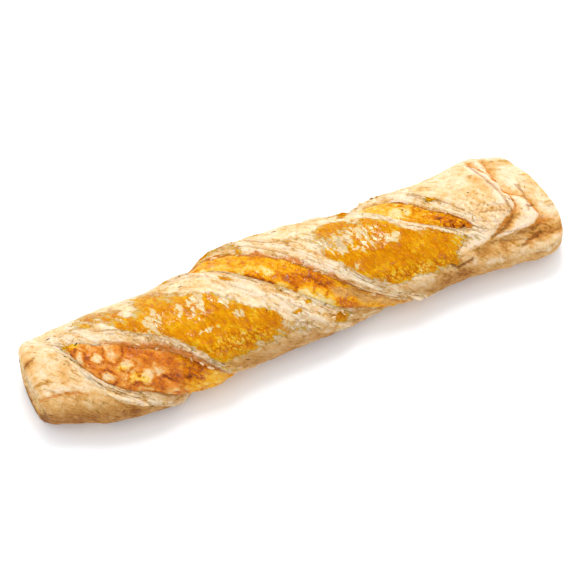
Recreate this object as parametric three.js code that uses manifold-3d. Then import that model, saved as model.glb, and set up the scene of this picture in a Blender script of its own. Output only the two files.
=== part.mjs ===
import * as THREE from 'three';
import Module from 'manifold-3d';

// A baked cheese twist. A strip of layered dough with a sheet of cheese in it is twisted round
// its own length, so its two cut edges run as helical valleys. Cheese shows in both valleys and
// runs through the dough from one to the other. X runs along the twist and Z is up, in millimetres.

const length = 238;
const pitch = 165; // one full turn of the strip
const readAngle = THREE.MathUtils.degToRad(28); // from the top to the line where the strip is read
const axisHeight = 13;
const sagDepth = 16; // from the axis to the underside, before it settles flat
const flatDepth = 1.8; // how much of the underside is pressed flat
const endRound = 4; // rounding where the sides turn into the end faces
const endShrink = 0.45; // how far in the last mesh ring of an end face lies
const cheeseGap = 0.42; // clearance round the cheese, across the section
const cheeseWall = 3.2; // thickness of the cheese at a valley
const webHalf = 1.3; // half the thickness of the cheese sheet inside
const blister = 0.42; // height of the bumps on the baked skin
const upperFold = 2.6; // thickness of the folded sheet that ends short of the right end
const lowerFold = 2.2; // thickness of the lobe under it
const leftFold = 1.3; // step between the two sheets at the left end
const edgeRound = 3.2; // half the width over which a sheet's edge steps down

// Outlines along the twist, as pairs of place and value
const halfWidth = curve([[-119, 19], [-112, 21.2], [-100, 23.4], [-77, 25.4], [-52, 26], [-27, 27.3],
  [3, 26.8], [28, 24.4], [48, 25.3], [68, 23.9], [93, 26.3], [108, 27], [119, 25]]);
const crownHeight = curve([[-119, 14.5], [-102, 17.5], [-72, 19], [-32, 20], [8, 20], [58, 19.5],
  [98, 18.5], [119, 15]]);
const sideways = curve([[-119, 4.2], [-107, 0.9], [-87, -0.4], [-68, -1.5], [-47, -1.7], [-30, 2.8],
  [-2, 3.8], [28, 2], [58, 1.8], [88, 2.2], [103, 2], [119, -0.6]]);

// How far each end falls short of the full length, across the twist
const leftShort = curve([[-20, 8], [-15, 4], [-11, 1.8], [-5, 0.4], [6, 0], [14, 0.6], [20, 2], [23.6, 4.4],
  [25.5, 7.5]]);
const rightShort = curve([[-27, 9], [-22, 3.2], [-15, 0.4], [-10, 0.6], [2, 2.9], [11, 4.8],
  [16.5, 6.2], [23, 9], [27, 13]]);

// Edges of the folded sheets at the right end, as the place along the twist for each place across it
const upperFoldEdge = curve([[-18, 76], [-16, 84], [-14, 88], [-11.5, 93.2], [-8.6, 97.8], [-6.7, 98.9],
  [-1, 98.1], [6, 96.7], [13, 94.3], [22, 90.8]]);
const lowerFoldEdge = curve([[-18.3, 88], [-17.5, 99], [-15.5, 107], [-11, 107.1], [-5.7, 106.3], [-3, 103.5],
  [-1, 100], [2, 97]]);
// Edge of the upper sheet at the left end: how far toward -Y it lies, for each distance toward -X
const leftFoldEdge = curve([[94, 16.5], [108, 11], [119, 7]]);

// The two valleys: centre, half width of the floor, widths of the layered bands beside it, depth,
// and how many mesh lines cross the baked skin that follows
const valleys = [
  {
    centre: curve([[-119, -80], [-106, -80.5], [-97, -83], [-92, -83.6], [-87, -82.8], [-81, -80.2],
      [-75, -76.8], [-69, -74.9], [-63, -75.6], [-56, -78], [-46, -79.2], [-36, -81.4], [-2, -84],
      [40, -86], [57, -86], [66, -88.6], [73, -87.8], [80, -86], [119, -88]]),
    floor: curve([[-119, 0], [-105, 0], [-100, 2.6], [-97, 6.4], [-93, 9], [-88, 10.6], [-82, 12.6],
      [-76, 12.8], [-70, 13.2], [-65, 15.6], [-60, 17.6], [-54, 18], [-46, 16], [-36, 13], [-2, 8],
      [40, 7], [50, 8.4], [58, 8], [66, 5], [72, 3.8], [77, 1.6], [80, 0], [119, 0]]),
    left: curve([[-119, 4], [-97, 9], [-62, 10], [-2, 9], [40, 6], [66, 5], [119, 5]]),
    right: curve([[-119, 5], [-92, 8], [-63, 6.6], [-46, 8], [-2, 9], [58, 7], [119, 8]]),
    depth: curve([[-119, 0], [-110, 0.3], [-104, 1.4], [-98, 3], [-82, 3.8], [-62, 5], [-45, 3.4],
      [-22, 4.4], [38, 5], [66, 4.6], [74, 3.4], [80, 1.2], [86, 0.2], [92, 0], [119, 0]]),
    skinLines: 10,
  },
  {
    centre: curve([[-119, 8], [-34, 6.4], [-20, 8.4], [-11, 9.8], [-2, 9.4], [8, 8.4], [28, 8],
      [50, 6.4], [119, 2]]),
    floor: curve([[-119, 0], [-106, 1], [-82, 5], [-34, 6.2], [-2, 5.8], [28, 6], [40, 7.4], [78, 6],
      [102, 1], [119, 0]]),
    left: curve([[-119, 6], [-42, 9], [-22, 14], [-12, 17], [-2, 20], [18, 23], [58, 14], [119, 6]]),
    right: curve([[-119, 8], [-32, 15], [-2, 10.5], [28, 8.5], [58, 8.5], [119, 6]]),
    depth: curve([[-119, 0], [-108, 0.5], [-82, 4], [-32, 4], [8, 5], [26, 4.6], [42, 2.4], [60, 4],
      [78, 4], [102, 0.5], [119, 0]]),
    skinLines: 8,
  },
];
const leastFloor = 1.2; // keeps the mesh lines apart where a valley closes
const middleStep = 3.6; // between mesh rings along the middle
const endStep = 2.1; // between mesh rings near the ends

// Layers in the steep right band, from the floor to the skin, as pairs of place and height
const steps = [[-0.06, 0], [0.07, 0.4], [0.3, 0.44], [0.4, 0.66], [0.64, 0.7], [0.74, 0.88], [0.96, 0.9],
  [1.06, 1]];

// Long beads and grooves on the two bands, and the lean of the right one toward its valley: height as
// a share of the depth, place across the band, and reach
const rightBead = { height: 0.26, at: 0.62, reach: 0.22 };
const rightGroove = { height: -0.18, at: 1.08, reach: 0.1 };
const rightLean = { height: -0.32, at: 0.3, reach: 0.28 };
const leftBead = { height: 0.12, at: 0.85, reach: 0.22 };
const leftGroove = { height: -0.1, at: 1.15, reach: 0.1 };

// The waves by which the cut edges leave a true helix: height, length over a full wave's angle, turns
// round the strip, and start
const edgeWaves = [
  { height: 1.1, along: 12.5, turns: 1, start: 0 },
  { height: 0.6, along: 5.7, turns: -2, start: 1.2 },
];

// Bumps of the baked skin, each the product of two waves: angle per millimetre, turns and start
const bumpWaves = [
  { height: 0.6, first: [0.42, 7, 0], second: [0.19, -5, 1] },
  { height: 0.5, first: [0.83, 13, 2], second: [0.61, -9, 0] },
];

// Mesh lines across each stretch of the strip, as shares of that stretch
const leftLines = [0, 0.22, 0.48, 0.74];
const floorLines = [0, 0.25, 0.5, 0.75];
const rightLines = [0, 0.08, 0.3, 0.41, 0.64, 0.75, 0.96];
const skinStart = 0.02;

// A smooth curve through pairs of place and value, level beyond its ends
function curve(pairs) {
  const last = pairs.length - 1;
  const slopes = pairs.map((pair, i) => {
    const before = pairs[Math.max(i - 1, 0)];
    const after = pairs[Math.min(i + 1, last)];
    return (after[1] - before[1]) / (after[0] - before[0]);
  });
  return (place) => {
    const at = THREE.MathUtils.clamp(place, pairs[0][0], pairs[last][0]);
    const found = pairs.findIndex((pair, i) => i > 0 && at <= pair[0]);
    const [fromPlace, fromValue] = pairs[found - 1];
    const [toPlace, toValue] = pairs[found];
    const step = toPlace - fromPlace;
    const share = (at - fromPlace) / step;
    const ease = share * share * (3 - 2 * share);
    const leave = share * (1 - share) * (1 - share) * step * slopes[found - 1];
    const arrive = share * share * (share - 1) * step * slopes[found];
    return THREE.MathUtils.lerp(fromValue, toValue, ease) + leave + arrive;
  };
}

// The height in the list of layer steps at a place across the band, eased between its entries
function stepHeight(place) {
  const found = steps.findIndex((step) => place <= step[0]);
  if (found < 0) {
    return 1;
  }
  if (found === 0) {
    return 0;
  }
  const [fromPlace, fromHeight] = steps[found - 1];
  const [toPlace, toHeight] = steps[found];
  const share = THREE.MathUtils.smoothstep(place, fromPlace, toPlace);
  return THREE.MathUtils.lerp(fromHeight, toHeight, share);
}

// A rounded ridge, or a groove where its height is negative
function ridge(place, { height, at, reach }) {
  return height * Math.exp(-(((place - at) / reach) ** 2));
}

// The strip comes back on itself after one pitch
function aroundStrip(distance) {
  return THREE.MathUtils.euclideanModulo(distance + pitch / 2, pitch) - pitch / 2;
}

// How far the cut edges wander from a true helix
function wander(x, strip) {
  const round = 2 * Math.PI * strip / pitch;
  let sum = 0;
  for (const { height, along, turns, start } of edgeWaves) {
    sum += height * Math.sin(x / along + turns * round + start);
  }
  return sum;
}

function bumps(x, strip) {
  const round = 2 * Math.PI * strip / pitch;
  const wave = ([along, turns, start]) => Math.sin(x * along + turns * round + start);
  let sum = 0;
  for (const { height, first, second } of bumpWaves) {
    sum += height * wave(first) * wave(second);
  }
  return blister * sum;
}

// Height of the strip over the plain section at one place, and its lean across the strip
function relief(x, strip) {
  let level = 0;
  let lean = 0;
  let onSkin = 1;
  for (const valley of valleys) {
    const depth = valley.depth(x);
    const across = aroundStrip(strip - valley.centre(x));
    const beyond = Math.abs(across) - Math.max(valley.floor(x), 0);
    if (across > 0) {
      const place = beyond / valley.right(x);
      level -= depth * (1 - stepHeight(place));
      level += depth * (ridge(place, rightBead) + ridge(place, rightGroove));
      lean += depth * ridge(place, rightLean);
      onSkin *= THREE.MathUtils.smoothstep(place, 0.2, 1.2);
    } else {
      const place = beyond / valley.left(x);
      level -= depth * (1 - THREE.MathUtils.smoothstep(place, -0.05, 1));
      level += depth * (ridge(place, leftBead) + ridge(place, leftGroove));
      onSkin *= THREE.MathUtils.smoothstep(place, 0.2, 1.2);
    }
  }
  return { level: level + bumps(x, strip) * onSkin, lean };
}

// How far past a sheet's edge a place lies, square to the edge
function pastEdge(edge, along, across) {
  const slope = edge(across + 0.5) - edge(across - 0.5);
  return (along - edge(across)) / Math.hypot(1, slope);
}

// Steps down from one folded sheet to the next near the two ends, on the upper side only
function foldDrop(x, y, angle) {
  const smoothstep = THREE.MathUtils.smoothstep;
  const onTop = smoothstep(Math.cos(angle), 0.45, 0.95);
  const upper = smoothstep(pastEdge(upperFoldEdge, x, y), -edgeRound, edgeRound);
  const lower = smoothstep(pastEdge(lowerFoldEdge, x, y), -edgeRound, edgeRound);
  const pastLeft = pastEdge(leftFoldEdge, -y, -x);
  const left = smoothstep(pastLeft, -edgeRound, edgeRound) * smoothstep(-x, 92, 104);
  return onTop * (upperFold * upper + lowerFold * lower * upper) + leftFold * left;
}

// The underside sags flat on what it lies on
function settled(z) {
  if (z <= -flatDepth) {
    return 0;
  }
  return z >= flatDepth ? z : (z + flatDepth) ** 2 / (4 * flatDepth);
}

function angleAt(x, strip) {
  return readAngle + 2 * Math.PI * (x - strip - wander(x, strip)) / pitch;
}

// A point off the plain section: level is outward, lean runs across the strip, and shrink draws it
// to the axis
function place(x, angle, { level = 0, lean = 0, shrink = 0, out = 0 }) {
  const wide = halfWidth(x);
  const upperSide = THREE.MathUtils.smoothstep(Math.cos(angle), -0.25, 0.25);
  const tall = THREE.MathUtils.lerp(sagDepth, crownHeight(x), upperSide);
  const speed = Math.hypot(tall * Math.sin(angle), wide * Math.cos(angle));
  const normalY = -tall * Math.sin(angle) / speed;
  const normalZ = wide * Math.cos(angle) / speed;
  const helix = pitch / (2 * Math.PI);
  const leanAlong = lean * helix / Math.hypot(helix, speed);
  const leanRound = -lean * speed / Math.hypot(helix, speed);
  const plainY = -wide * Math.sin(angle) * (1 - shrink);
  const plainZ = tall * Math.cos(angle) * (1 - shrink);
  const y = sideways(x) + plainY + level * normalY + leanRound * -normalZ;
  const z = axisHeight + plainZ + level * normalZ + leanRound * normalY;
  const leftPull = THREE.MathUtils.smoothstep(-x, 85, 119) * leftShort(y);
  const rightPull = THREE.MathUtils.smoothstep(x, 80, 119) * rightShort(y);
  return new THREE.Vector3(x + out + leanAlong + leftPull - rightPull, y, z);
}

// Where the mesh lines cross the section at x, in places on the strip
function stripLines(x) {
  const lines = [];
  const edges = valleys.map((valley) => {
    const centre = valley.centre(x);
    const floor = Math.max(valley.floor(x), leastFloor);
    const leftIn = centre - floor;
    const rightIn = centre + floor;
    return [leftIn - valley.left(x), leftIn, rightIn, rightIn + valley.right(x)];
  });
  edges.forEach(([leftOut, leftIn, rightIn, rightOut], i) => {
    const nextOut = i === 0 ? edges[1][0] : edges[0][0] + pitch;
    const skinCount = valleys[i].skinLines;
    const skinShares = Array.from({ length: skinCount }, (unused, line) => skinStart + line / skinCount);
    const stretches = [[leftOut, leftIn, leftLines], [leftIn, rightIn, floorLines],
      [rightIn, rightOut, rightLines], [rightOut, nextOut, skinShares]];
    for (const [from, to, shares] of stretches) {
      shares.forEach((share) => lines.push(THREE.MathUtils.lerp(from, to, share)));
    }
  });
  return lines;
}

// One ring of dough at x; inset and shrink draw it in at the end faces
function doughRing(x, { inset = 0, shrink = 0, out = 0 } = {}) {
  return stripLines(x).map((strip) => {
    const angle = angleAt(x, strip);
    const { level, lean } = relief(x, strip);
    const plain = place(x, angle, {});
    const drop = foldDrop(plain.x, plain.y, angle);
    const point = place(x, angle, { level: level - drop - inset, lean, shrink, out });
    point.z = settled(point.z);
    return point;
  });
}

// Places along the twist, closer together near the ends
function stations() {
  const from = -length / 2 + endRound;
  const to = length / 2 - endRound;
  const places = [from];
  while (places[places.length - 1] < to) {
    const at = places[places.length - 1];
    const nearLeft = THREE.MathUtils.smoothstep(-at, 85, 100);
    const nearRight = THREE.MathUtils.smoothstep(at, 72, 84);
    places.push(at + THREE.MathUtils.lerp(middleStep, endStep, Math.max(nearLeft, nearRight)));
  }
  places[places.length - 1] = to;
  return places;
}

function doughRings() {
  const rings = stations().map((x) => doughRing(x));
  const bends = [30, 62, 90].map((degrees) => THREE.MathUtils.degToRad(degrees));
  for (const side of [-1, 1]) {
    const x = side * (length / 2 - endRound);
    const closing = bends.map((bend) => doughRing(x, {
      inset: endRound * (1 - Math.cos(bend)),
      out: side * endRound * Math.sin(bend),
    }));
    closing.push(doughRing(x, { inset: endRound, shrink: endShrink, out: side * endRound }));
    if (side > 0) {
      rings.push(...closing);
    } else {
      rings.unshift(...closing.reverse());
    }
  }
  return rings;
}

// The cheese in section: a pad that shows in each valley, and a thin web between the two pads
const cheeseFrom = -106;
const cheeseTo = 97;
const cheeseStep = 4.2;
const padShares = [-1, -0.72, -0.36, 0, 0.36, 0.72, 1];
const padBeyond = 1.6; // how far a pad reaches in under the layers beside it
const tuck = 1.4; // how much lower a pad's edges lie than its middle
const fillShare = 0.62; // the cheese's face lies this share of the valley's depth below the skin
const bubbleHeight = 0.5; // of the waves on the cheese's face
const bubbleWave = { along: 0.7, across: 5 };
const bubbleSwell = { along: 0.31, across: -4 };
const endDepth = 5.5; // how deep the cheese lies in the dough at its two ends
const leftFade = 9;
const rightFade = 16;
const lowestCheese = 1.3; // clear of what the twist lies on

// The face of the cheese in one valley, as points across it
function padFace(valley, x, buried) {
  const reach = Math.max(valley.floor(x), 0) + padBeyond;
  const sunk = valley.depth(x) * fillShare + buried;
  return padShares.map((share) => {
    const strip = valley.centre(x) + share * reach;
    const wave = Math.sin(x * bubbleWave.along + share * bubbleWave.across);
    const swell = Math.cos(x * bubbleSwell.along + share * bubbleSwell.across);
    const bubble = bubbleHeight * wave * swell * (1 - share * share);
    const level = bubble - sunk - tuck * share ** 4;
    return place(x, angleAt(x, strip), { level });
  });
}

// A point at the back of the pad, in the dough
function padBack(valley, x, buried, share, thickness) {
  const strip = valley.centre(x) + share * (Math.max(valley.floor(x), 0) + padBeyond);
  return place(x, angleAt(x, strip), { level: -valley.depth(x) - thickness - buried });
}

function cheeseRing(x) {
  const buried = endDepth * Math.max(
    1 - THREE.MathUtils.smoothstep(x, cheeseFrom, cheeseFrom + leftFade),
    THREE.MathUtils.smoothstep(x, cheeseTo - rightFade, cheeseTo),
  );
  const neck = new THREE.Vector3(x, sideways(x), axisHeight);
  const pads = valleys.map((valley) => {
    const before = padBack(valley, x, buried, -0.6, cheeseWall * 0.8);
    const after = padBack(valley, x, buried, 0.6, cheeseWall * 0.8);
    const root = padBack(valley, x, buried, 0, cheeseWall);
    const inward = root.clone().sub(neck).setX(0).normalize();
    const side = new THREE.Vector3(0, -inward.z, inward.y).multiplyScalar(webHalf);
    if (side.dot(after.clone().sub(before)) < 0) {
      side.negate();
    }
    const face = [before, ...padFace(valley, x, buried), after];
    return { face, rootBefore: root.clone().sub(side), rootAfter: root.clone().add(side) };
  });
  const ring = pads.flatMap((pad, i) => [...pad.face, pad.rootAfter, pads[1 - i].rootBefore]);
  return ring.map((point) => point.setZ(Math.max(point.z, lowestCheese)));
}

// Twice the area of a ring seen from +X, positive when it runs counterclockwise
function signedArea(ring) {
  return ring.reduce((sum, point, i) => {
    const next = ring[(i + 1) % ring.length];
    return sum + point.y * next.z - next.y * point.z;
  }, 0);
}

// The same ring, larger all round in its own plane
function grownRing(ring, by) {
  const outward = Math.sign(signedArea(ring));
  return ring.map((point, i) => {
    const before = ring[(i + ring.length - 1) % ring.length];
    const after = ring[(i + 1) % ring.length];
    const arriving = point.clone().sub(before).setX(0).normalize();
    const leaving = after.clone().sub(point).setX(0).normalize();
    const along = arriving.add(leaving).normalize();
    return new THREE.Vector3(point.x, point.y + outward * along.z * by, point.z - outward * along.y * by);
  });
}

function cheeseRings(grow) {
  const count = Math.round((cheeseTo - cheeseFrom) / cheeseStep);
  const rings = [];
  for (let i = 0; i <= count; i += 1) {
    const ring = cheeseRing(THREE.MathUtils.lerp(cheeseFrom, cheeseTo, i / count));
    rings.push(grow > 0 ? grownRing(ring, grow) : ring);
  }
  rings[0].forEach((point) => point.setX(point.x - grow));
  rings[count].forEach((point) => point.setX(point.x + grow));
  return rings;
}

// A closed skin over a row of rings, with both ends filled
function loft(rings) {
  const ordered = signedArea(rings[0]) > 0 ? rings : rings.map((ring) => [...ring].reverse());
  const count = ordered[0].length;
  const corners = ordered.flat();
  const faces = [];
  for (let i = 0; i + 1 < ordered.length; i += 1) {
    for (let j = 0; j < count; j += 1) {
      const here = i * count + j;
      const beside = i * count + (j + 1) % count;
      faces.push(here, beside, beside + count, here, beside + count, here + count);
    }
  }
  const fill = (ring, first, facesForward) => {
    const outline = ring.map((point) => new THREE.Vector2(point.y, point.z));
    for (const [a, b, c] of THREE.ShapeUtils.triangulateShape(outline, [])) {
      const counterclockwise = signedArea([ring[a], ring[b], ring[c]]) > 0;
      const inOrder = counterclockwise === facesForward ? [a, b, c] : [a, c, b];
      faces.push(...inOrder.map((corner) => first + corner));
    }
  };
  fill(ordered[0], 0, false);
  fill(ordered[ordered.length - 1], (ordered.length - 1) * count, true);
  return { corners, faces };
}

const wasm = await Module();
wasm.setup();

function solidFrom({ corners, faces }) {
  const vertProperties = new Float32Array(corners.flatMap((point) => [point.x, point.y, point.z]));
  const triVerts = new Uint32Array(faces);
  return new wasm.Manifold(new wasm.Mesh({ numProp: 3, vertProperties, triVerts }));
}

function geometryFrom(solid) {
  const mesh = solid.getMesh();
  const geometry = new THREE.BufferGeometry();
  geometry.setAttribute('position', new THREE.BufferAttribute(Float32Array.from(mesh.vertProperties), 3));
  geometry.setIndex(new THREE.BufferAttribute(Uint32Array.from(mesh.triVerts), 1));
  return geometry;
}

// The largest piece of a cut, without the crumbs it may leave
function largestPiece(solid) {
  return solid.decompose().reduce((best, piece) => (piece.volume() > best.volume() ? piece : best));
}

// Dough, with room for the cheese cut out of it
function pastry() {
  const dough = solidFrom(loft(doughRings()));
  const room = solidFrom(loft(cheeseRings(cheeseGap)));
  const geometry = geometryFrom(largestPiece(dough.subtract(room)));
  const material = new THREE.MeshStandardMaterial({ color: 0xe2a65a, roughness: 0.5, metalness: 0 });
  const mesh = new THREE.Mesh(geometry, material);
  mesh.name = 'pastry';
  return mesh;
}

function cheeseFilling() {
  const geometry = geometryFrom(solidFrom(loft(cheeseRings(0))));
  const material = new THREE.MeshStandardMaterial({ color: 0xdb8636, roughness: 0.35, metalness: 0 });
  const mesh = new THREE.Mesh(geometry, material);
  mesh.name = 'cheese_filling';
  return mesh;
}

// Both pieces move together, so that the middle of the pastry's underside is at the origin
function centred(meshes) {
  const box = new THREE.Box3().setFromBufferAttribute(meshes[0].geometry.getAttribute('position'));
  const middle = box.getCenter(new THREE.Vector3());
  const group = new THREE.Group();
  for (const mesh of meshes) {
    mesh.geometry.translate(-middle.x, -middle.y, -box.min.z);
    group.add(mesh);
  }
  return group;
}

const twist = centred([pastry(), cheeseFilling()]);

export default twist;
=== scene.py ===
from itertools import product
import math

import bpy
import numpy as np
from mathutils import Matrix, Vector


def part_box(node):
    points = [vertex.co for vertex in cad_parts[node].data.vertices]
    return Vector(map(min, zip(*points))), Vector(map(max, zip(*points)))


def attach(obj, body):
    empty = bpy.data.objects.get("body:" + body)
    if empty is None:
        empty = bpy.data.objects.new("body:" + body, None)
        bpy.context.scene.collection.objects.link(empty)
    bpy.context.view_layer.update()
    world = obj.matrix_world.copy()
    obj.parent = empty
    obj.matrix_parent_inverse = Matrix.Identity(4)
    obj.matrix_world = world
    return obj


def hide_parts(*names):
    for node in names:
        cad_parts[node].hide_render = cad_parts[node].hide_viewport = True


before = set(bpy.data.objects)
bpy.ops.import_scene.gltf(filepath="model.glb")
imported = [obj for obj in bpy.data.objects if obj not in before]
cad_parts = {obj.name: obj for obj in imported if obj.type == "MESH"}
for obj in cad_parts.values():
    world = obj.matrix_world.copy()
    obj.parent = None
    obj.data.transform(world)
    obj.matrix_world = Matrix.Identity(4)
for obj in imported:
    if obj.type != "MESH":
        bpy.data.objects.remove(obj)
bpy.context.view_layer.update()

mm = 0.001
fullTurn = 2 * math.pi

# The twist's form, in millimetres. X runs along the twist, and a place on the strip is read on a
# line 28 degrees from the top, toward -Y. The tables are pairs of place and value.
form = {
    "length": 238.0,
    "pitch": 165.0,  # one full turn of the strip
    "readAngle": math.radians(28),
    "axisHeight": 13.0,
    "sagDepth": 16.0,
    "flatDepth": 1.8,  # how much of the underside is pressed flat
    "endRound": 4.0,
    "wander": [(1.1, 12.5, 1, 0), (0.6, 5.7, -2, 1.2)],  # reach, length, turns and start of each wave
    "leftEnd": (85, 119),  # where the ends are cut short
    "rightEnd": (80, 119),
    "halfWidth": [(-119, 19), (-112, 21.2), (-100, 23.4), (-77, 25.4), (-52, 26), (-27, 27.3), (3, 26.8),
                  (28, 24.4), (48, 25.3), (68, 23.9), (93, 26.3), (108, 27), (119, 25)],
    "crownHeight": [(-119, 14.5), (-102, 17.5), (-72, 19), (-32, 20), (8, 20), (58, 19.5), (98, 18.5),
                    (119, 15)],
    "sideways": [(-119, 4.2), (-107, 0.9), (-87, -0.4), (-68, -1.5), (-47, -1.7), (-30, 2.8), (-2, 3.8),
                 (28, 2), (58, 1.8), (88, 2.2), (103, 2), (119, -0.6)],
    "leftShort": [(-20, 8), (-15, 4), (-11, 1.8), (-5, 0.4), (6, 0), (14, 0.6), (20, 2), (23.6, 4.4),
                  (25.5, 7.5)],
    "rightShort": [(-27, 9), (-22, 3.2), (-15, 0.4), (-10, 0.6), (2, 2.9), (11, 4.8), (16.5, 6.2), (23, 9),
                   (27, 13)],
}

# The two valleys: centre, half width of the floor, widths of the layered bands beside it, depth, and
# how far the filling spills over the left lip
valleys = [
    {
        "centre": [(-119, -80), (-106, -80.5), (-97, -83), (-92, -83.6), (-87, -82.8), (-81, -80.2),
                   (-75, -76.8), (-69, -74.9), (-63, -75.6), (-56, -78), (-46, -79.2), (-36, -81.4),
                   (-2, -84), (40, -86), (57, -86), (66, -88.6), (73, -87.8), (80, -86), (119, -88)],
        "floor": [(-119, 0), (-105, 0), (-100, 2.6), (-97, 6.4), (-93, 9), (-88, 10.6), (-82, 12.6),
                  (-76, 12.8), (-70, 13.2), (-65, 15.6), (-60, 17.6), (-54, 18), (-46, 16), (-36, 13),
                  (-2, 8), (40, 7), (50, 8.4), (58, 8), (66, 5), (72, 3.8), (77, 1.6), (80, 0), (119, 0)],
        "left": [(-119, 4), (-97, 9), (-62, 10), (-2, 9), (40, 6), (66, 5), (119, 5)],
        "right": [(-119, 5), (-92, 8), (-63, 6.6), (-46, 8), (-2, 9), (58, 7), (119, 8)],
        "depth": [(-119, 0), (-110, 0.3), (-104, 1.4), (-98, 3), (-82, 3.8), (-62, 5), (-45, 3.4),
                  (-22, 4.4), (38, 5), (66, 4.6), (74, 3.4), (80, 1.2), (86, 0.2), (92, 0), (119, 0)],
        "spill": [(-119, 0), (-98, 0), (-90, 1.2), (-66, 1.6), (-54, 0), (119, 0)],
    },
    {
        "centre": [(-119, 8), (-34, 6.4), (-20, 8.4), (-11, 9.8), (-2, 9.4), (8, 8.4), (28, 8), (50, 6.4),
                   (119, 2)],
        "floor": [(-119, 0), (-106, 1), (-82, 5), (-34, 6.2), (-2, 5.8), (28, 6), (40, 7.4), (78, 6),
                  (102, 1), (119, 0)],
        "left": [(-119, 6), (-42, 9), (-22, 14), (-12, 17), (-2, 20), (18, 23), (58, 14), (119, 6)],
        "right": [(-119, 8), (-32, 15), (-2, 10.5), (28, 8.5), (58, 8.5), (119, 6)],
        "depth": [(-119, 0), (-108, 0.5), (-82, 4), (-32, 4), (8, 5), (26, 4.6), (42, 2.4), (60, 4),
                  (78, 4), (102, 0.5), (119, 0)],
        "spill": [(-119, 0), (-56, 0), (-44, 1.4), (-26, 0.8), (-14, 2.4), (-2, 4.4), (16, 4.4), (26, 2.2),
                  (38, 0), (119, 0)],
    },
]

# Folded sheets at the right end, as the place along the twist for each place across it, and at the
# left end, as how far toward -Y the edge lies for each distance toward -X
folds = {
    "upperEdge": [(-18, 76), (-16, 84), (-14, 88), (-11.5, 93.2), (-8.6, 97.8), (-6.7, 98.9), (-1, 98.1),
                  (6, 96.7), (13, 94.3), (22, 90.8)],
    "lowerEdge": [(-18.3, 88), (-17.5, 99), (-15.5, 107), (-11, 107.1), (-5.7, 106.3), (-3, 103.5),
                  (-1, 100), (2, 97)],
    "leftEdge": [(94, 16.5), (108, 11), (119, 7)],
    "upperThick": 2.6,
    "lowerThick": 2.2,
    "leftThick": 1.3,
    "edgeRound": 1.5,
    "edgeWave": 0.9,
    "swell": 0.7,
}


# A smooth line through pairs of place and value
def curve(at, pairs):
    places, values = np.array(pairs, float).T
    last = len(places) - 1
    before = np.maximum(np.arange(last + 1) - 1, 0)
    after = np.minimum(np.arange(last + 1) + 1, last)
    slopes = (values[after] - values[before]) / (places[after] - places[before])
    at = np.clip(at, places[0], places[-1])
    i = np.clip(np.searchsorted(places, at) - 1, 0, last - 1)
    step = places[i + 1] - places[i]
    share = (at - places[i]) / step
    ease = share * share * (3 - 2 * share)
    leave = share * (1 - share) ** 2 * step * slopes[i]
    arrive = share * share * (share - 1) * step * slopes[i + 1]
    return values[i] + (values[i + 1] - values[i]) * ease + leave + arrive


def smooth(value, low, high):
    share = np.clip((value - low) / (high - low), 0, 1)
    return share * share * (3 - 2 * share)


# 1 between two soft edges, each from where it starts to where it ends, and 0 beyond them
def between(value, low, high):
    return smooth(value, *low) * (1 - smooth(value, *high))


def bump(value, at, reach):
    return np.exp(-(((value - at) / reach) ** 2))


# Several bumps, as rows of height, place and reach
def bumps(value, rows):
    return sum(height * bump(value, at, reach) for height, at, reach in rows)


def mixed(first, second, share):
    return first + (second - first) * share


# Large numbers that stir the places of a lattice into chance
stir = {"corner": (374761393, 668265263, 2147483647), "seed": 144269504, "last": 1274126177}


# A number from 0 to 1 for each corner of a lattice of cubes
def latticeValue(i, j, k, seed):
    mask = 0xFFFFFFFF
    value = sum(part.astype(np.int64) * factor for part, factor in zip((i, j, k), stir["corner"]))
    value = (value + seed * stir["seed"]) & mask
    value = ((value ^ (value >> 13)) * stir["last"]) & mask
    value = value ^ (value >> 16)
    return (value & 0xFFFFFF) / 0xFFFFFF


# Soft random values from -1 to 1 over space
def cloud(point, seed):
    whole = [np.floor(part) for part in point]
    ease = [part - low for part, low in zip(point, whole)]
    ease = [part ** 3 * (part * (part * 6 - 15) + 10) for part in ease]
    total = 0
    for corner in range(8):
        steps = [(corner >> axis) & 1 for axis in range(3)]
        weight = 1
        for share, step in zip(ease, steps):
            weight = weight * (share if step else 1 - share)
        total = total + weight * latticeValue(*[low + step for low, step in zip(whole, steps)], seed)
    return total * 2 - 1


# Layers of such values, each finer and weaker than the last
def clouds(point, seed, octaves=3, gain=0.5):
    total, height, heights = 0, 1.0, 0
    for octave in range(octaves):
        finer = 2.03 ** octave
        total = total + height * cloud([part * finer for part in point], seed + 17 * octave)
        heights += height
        height *= gain
    return total / heights


# Distance to the nearest of scattered points, and that point's own number
def cells(point, seed):
    whole = [np.floor(part) for part in point]
    nearest = np.full(point[0].shape, 9.0)
    own = np.zeros(point[0].shape)
    for steps in product((-1, 0, 1), repeat=3):
        corner = [low + step for low, step in zip(whole, steps)]
        centre = [low + latticeValue(*corner, seed + n) for n, low in enumerate(corner)]
        gap = np.sqrt(sum((middle - part) ** 2 for middle, part in zip(centre, point)))
        closer = gap < nearest
        own = np.where(closer, latticeValue(*corner, seed + 3), own)
        nearest = np.where(closer, gap, nearest)
    return nearest, own


def aroundStrip(distance):
    return (distance + form["pitch"] / 2) % form["pitch"] - form["pitch"] / 2


# The strip laid out straight, as a tube without twist: long grain runs along its first axis
def laidOut(x, strip):
    turned = fullTurn * strip / form["pitch"]
    radius = form["pitch"] / fullTurn
    return x, radius * np.cos(turned), radius * np.sin(turned)


# Streaks that follow the strip: size along and across the grain, in millimetres
def grain(laid, along, across, seed, octaves=3, gain=0.5):
    first, second, third = laid
    return clouds((first / along, second / across, third / across), seed, octaves, gain)


# Scattered domes on the strip, sized the same way: their height, and each one's own number
def domes(laid, along, across, seed, reach):
    first, second, third = laid
    near, own = cells((first / along, second / across, third / across), seed)
    return np.sqrt(np.clip(1 - (near / reach) ** 2, 0, 1)) * own, own


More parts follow.
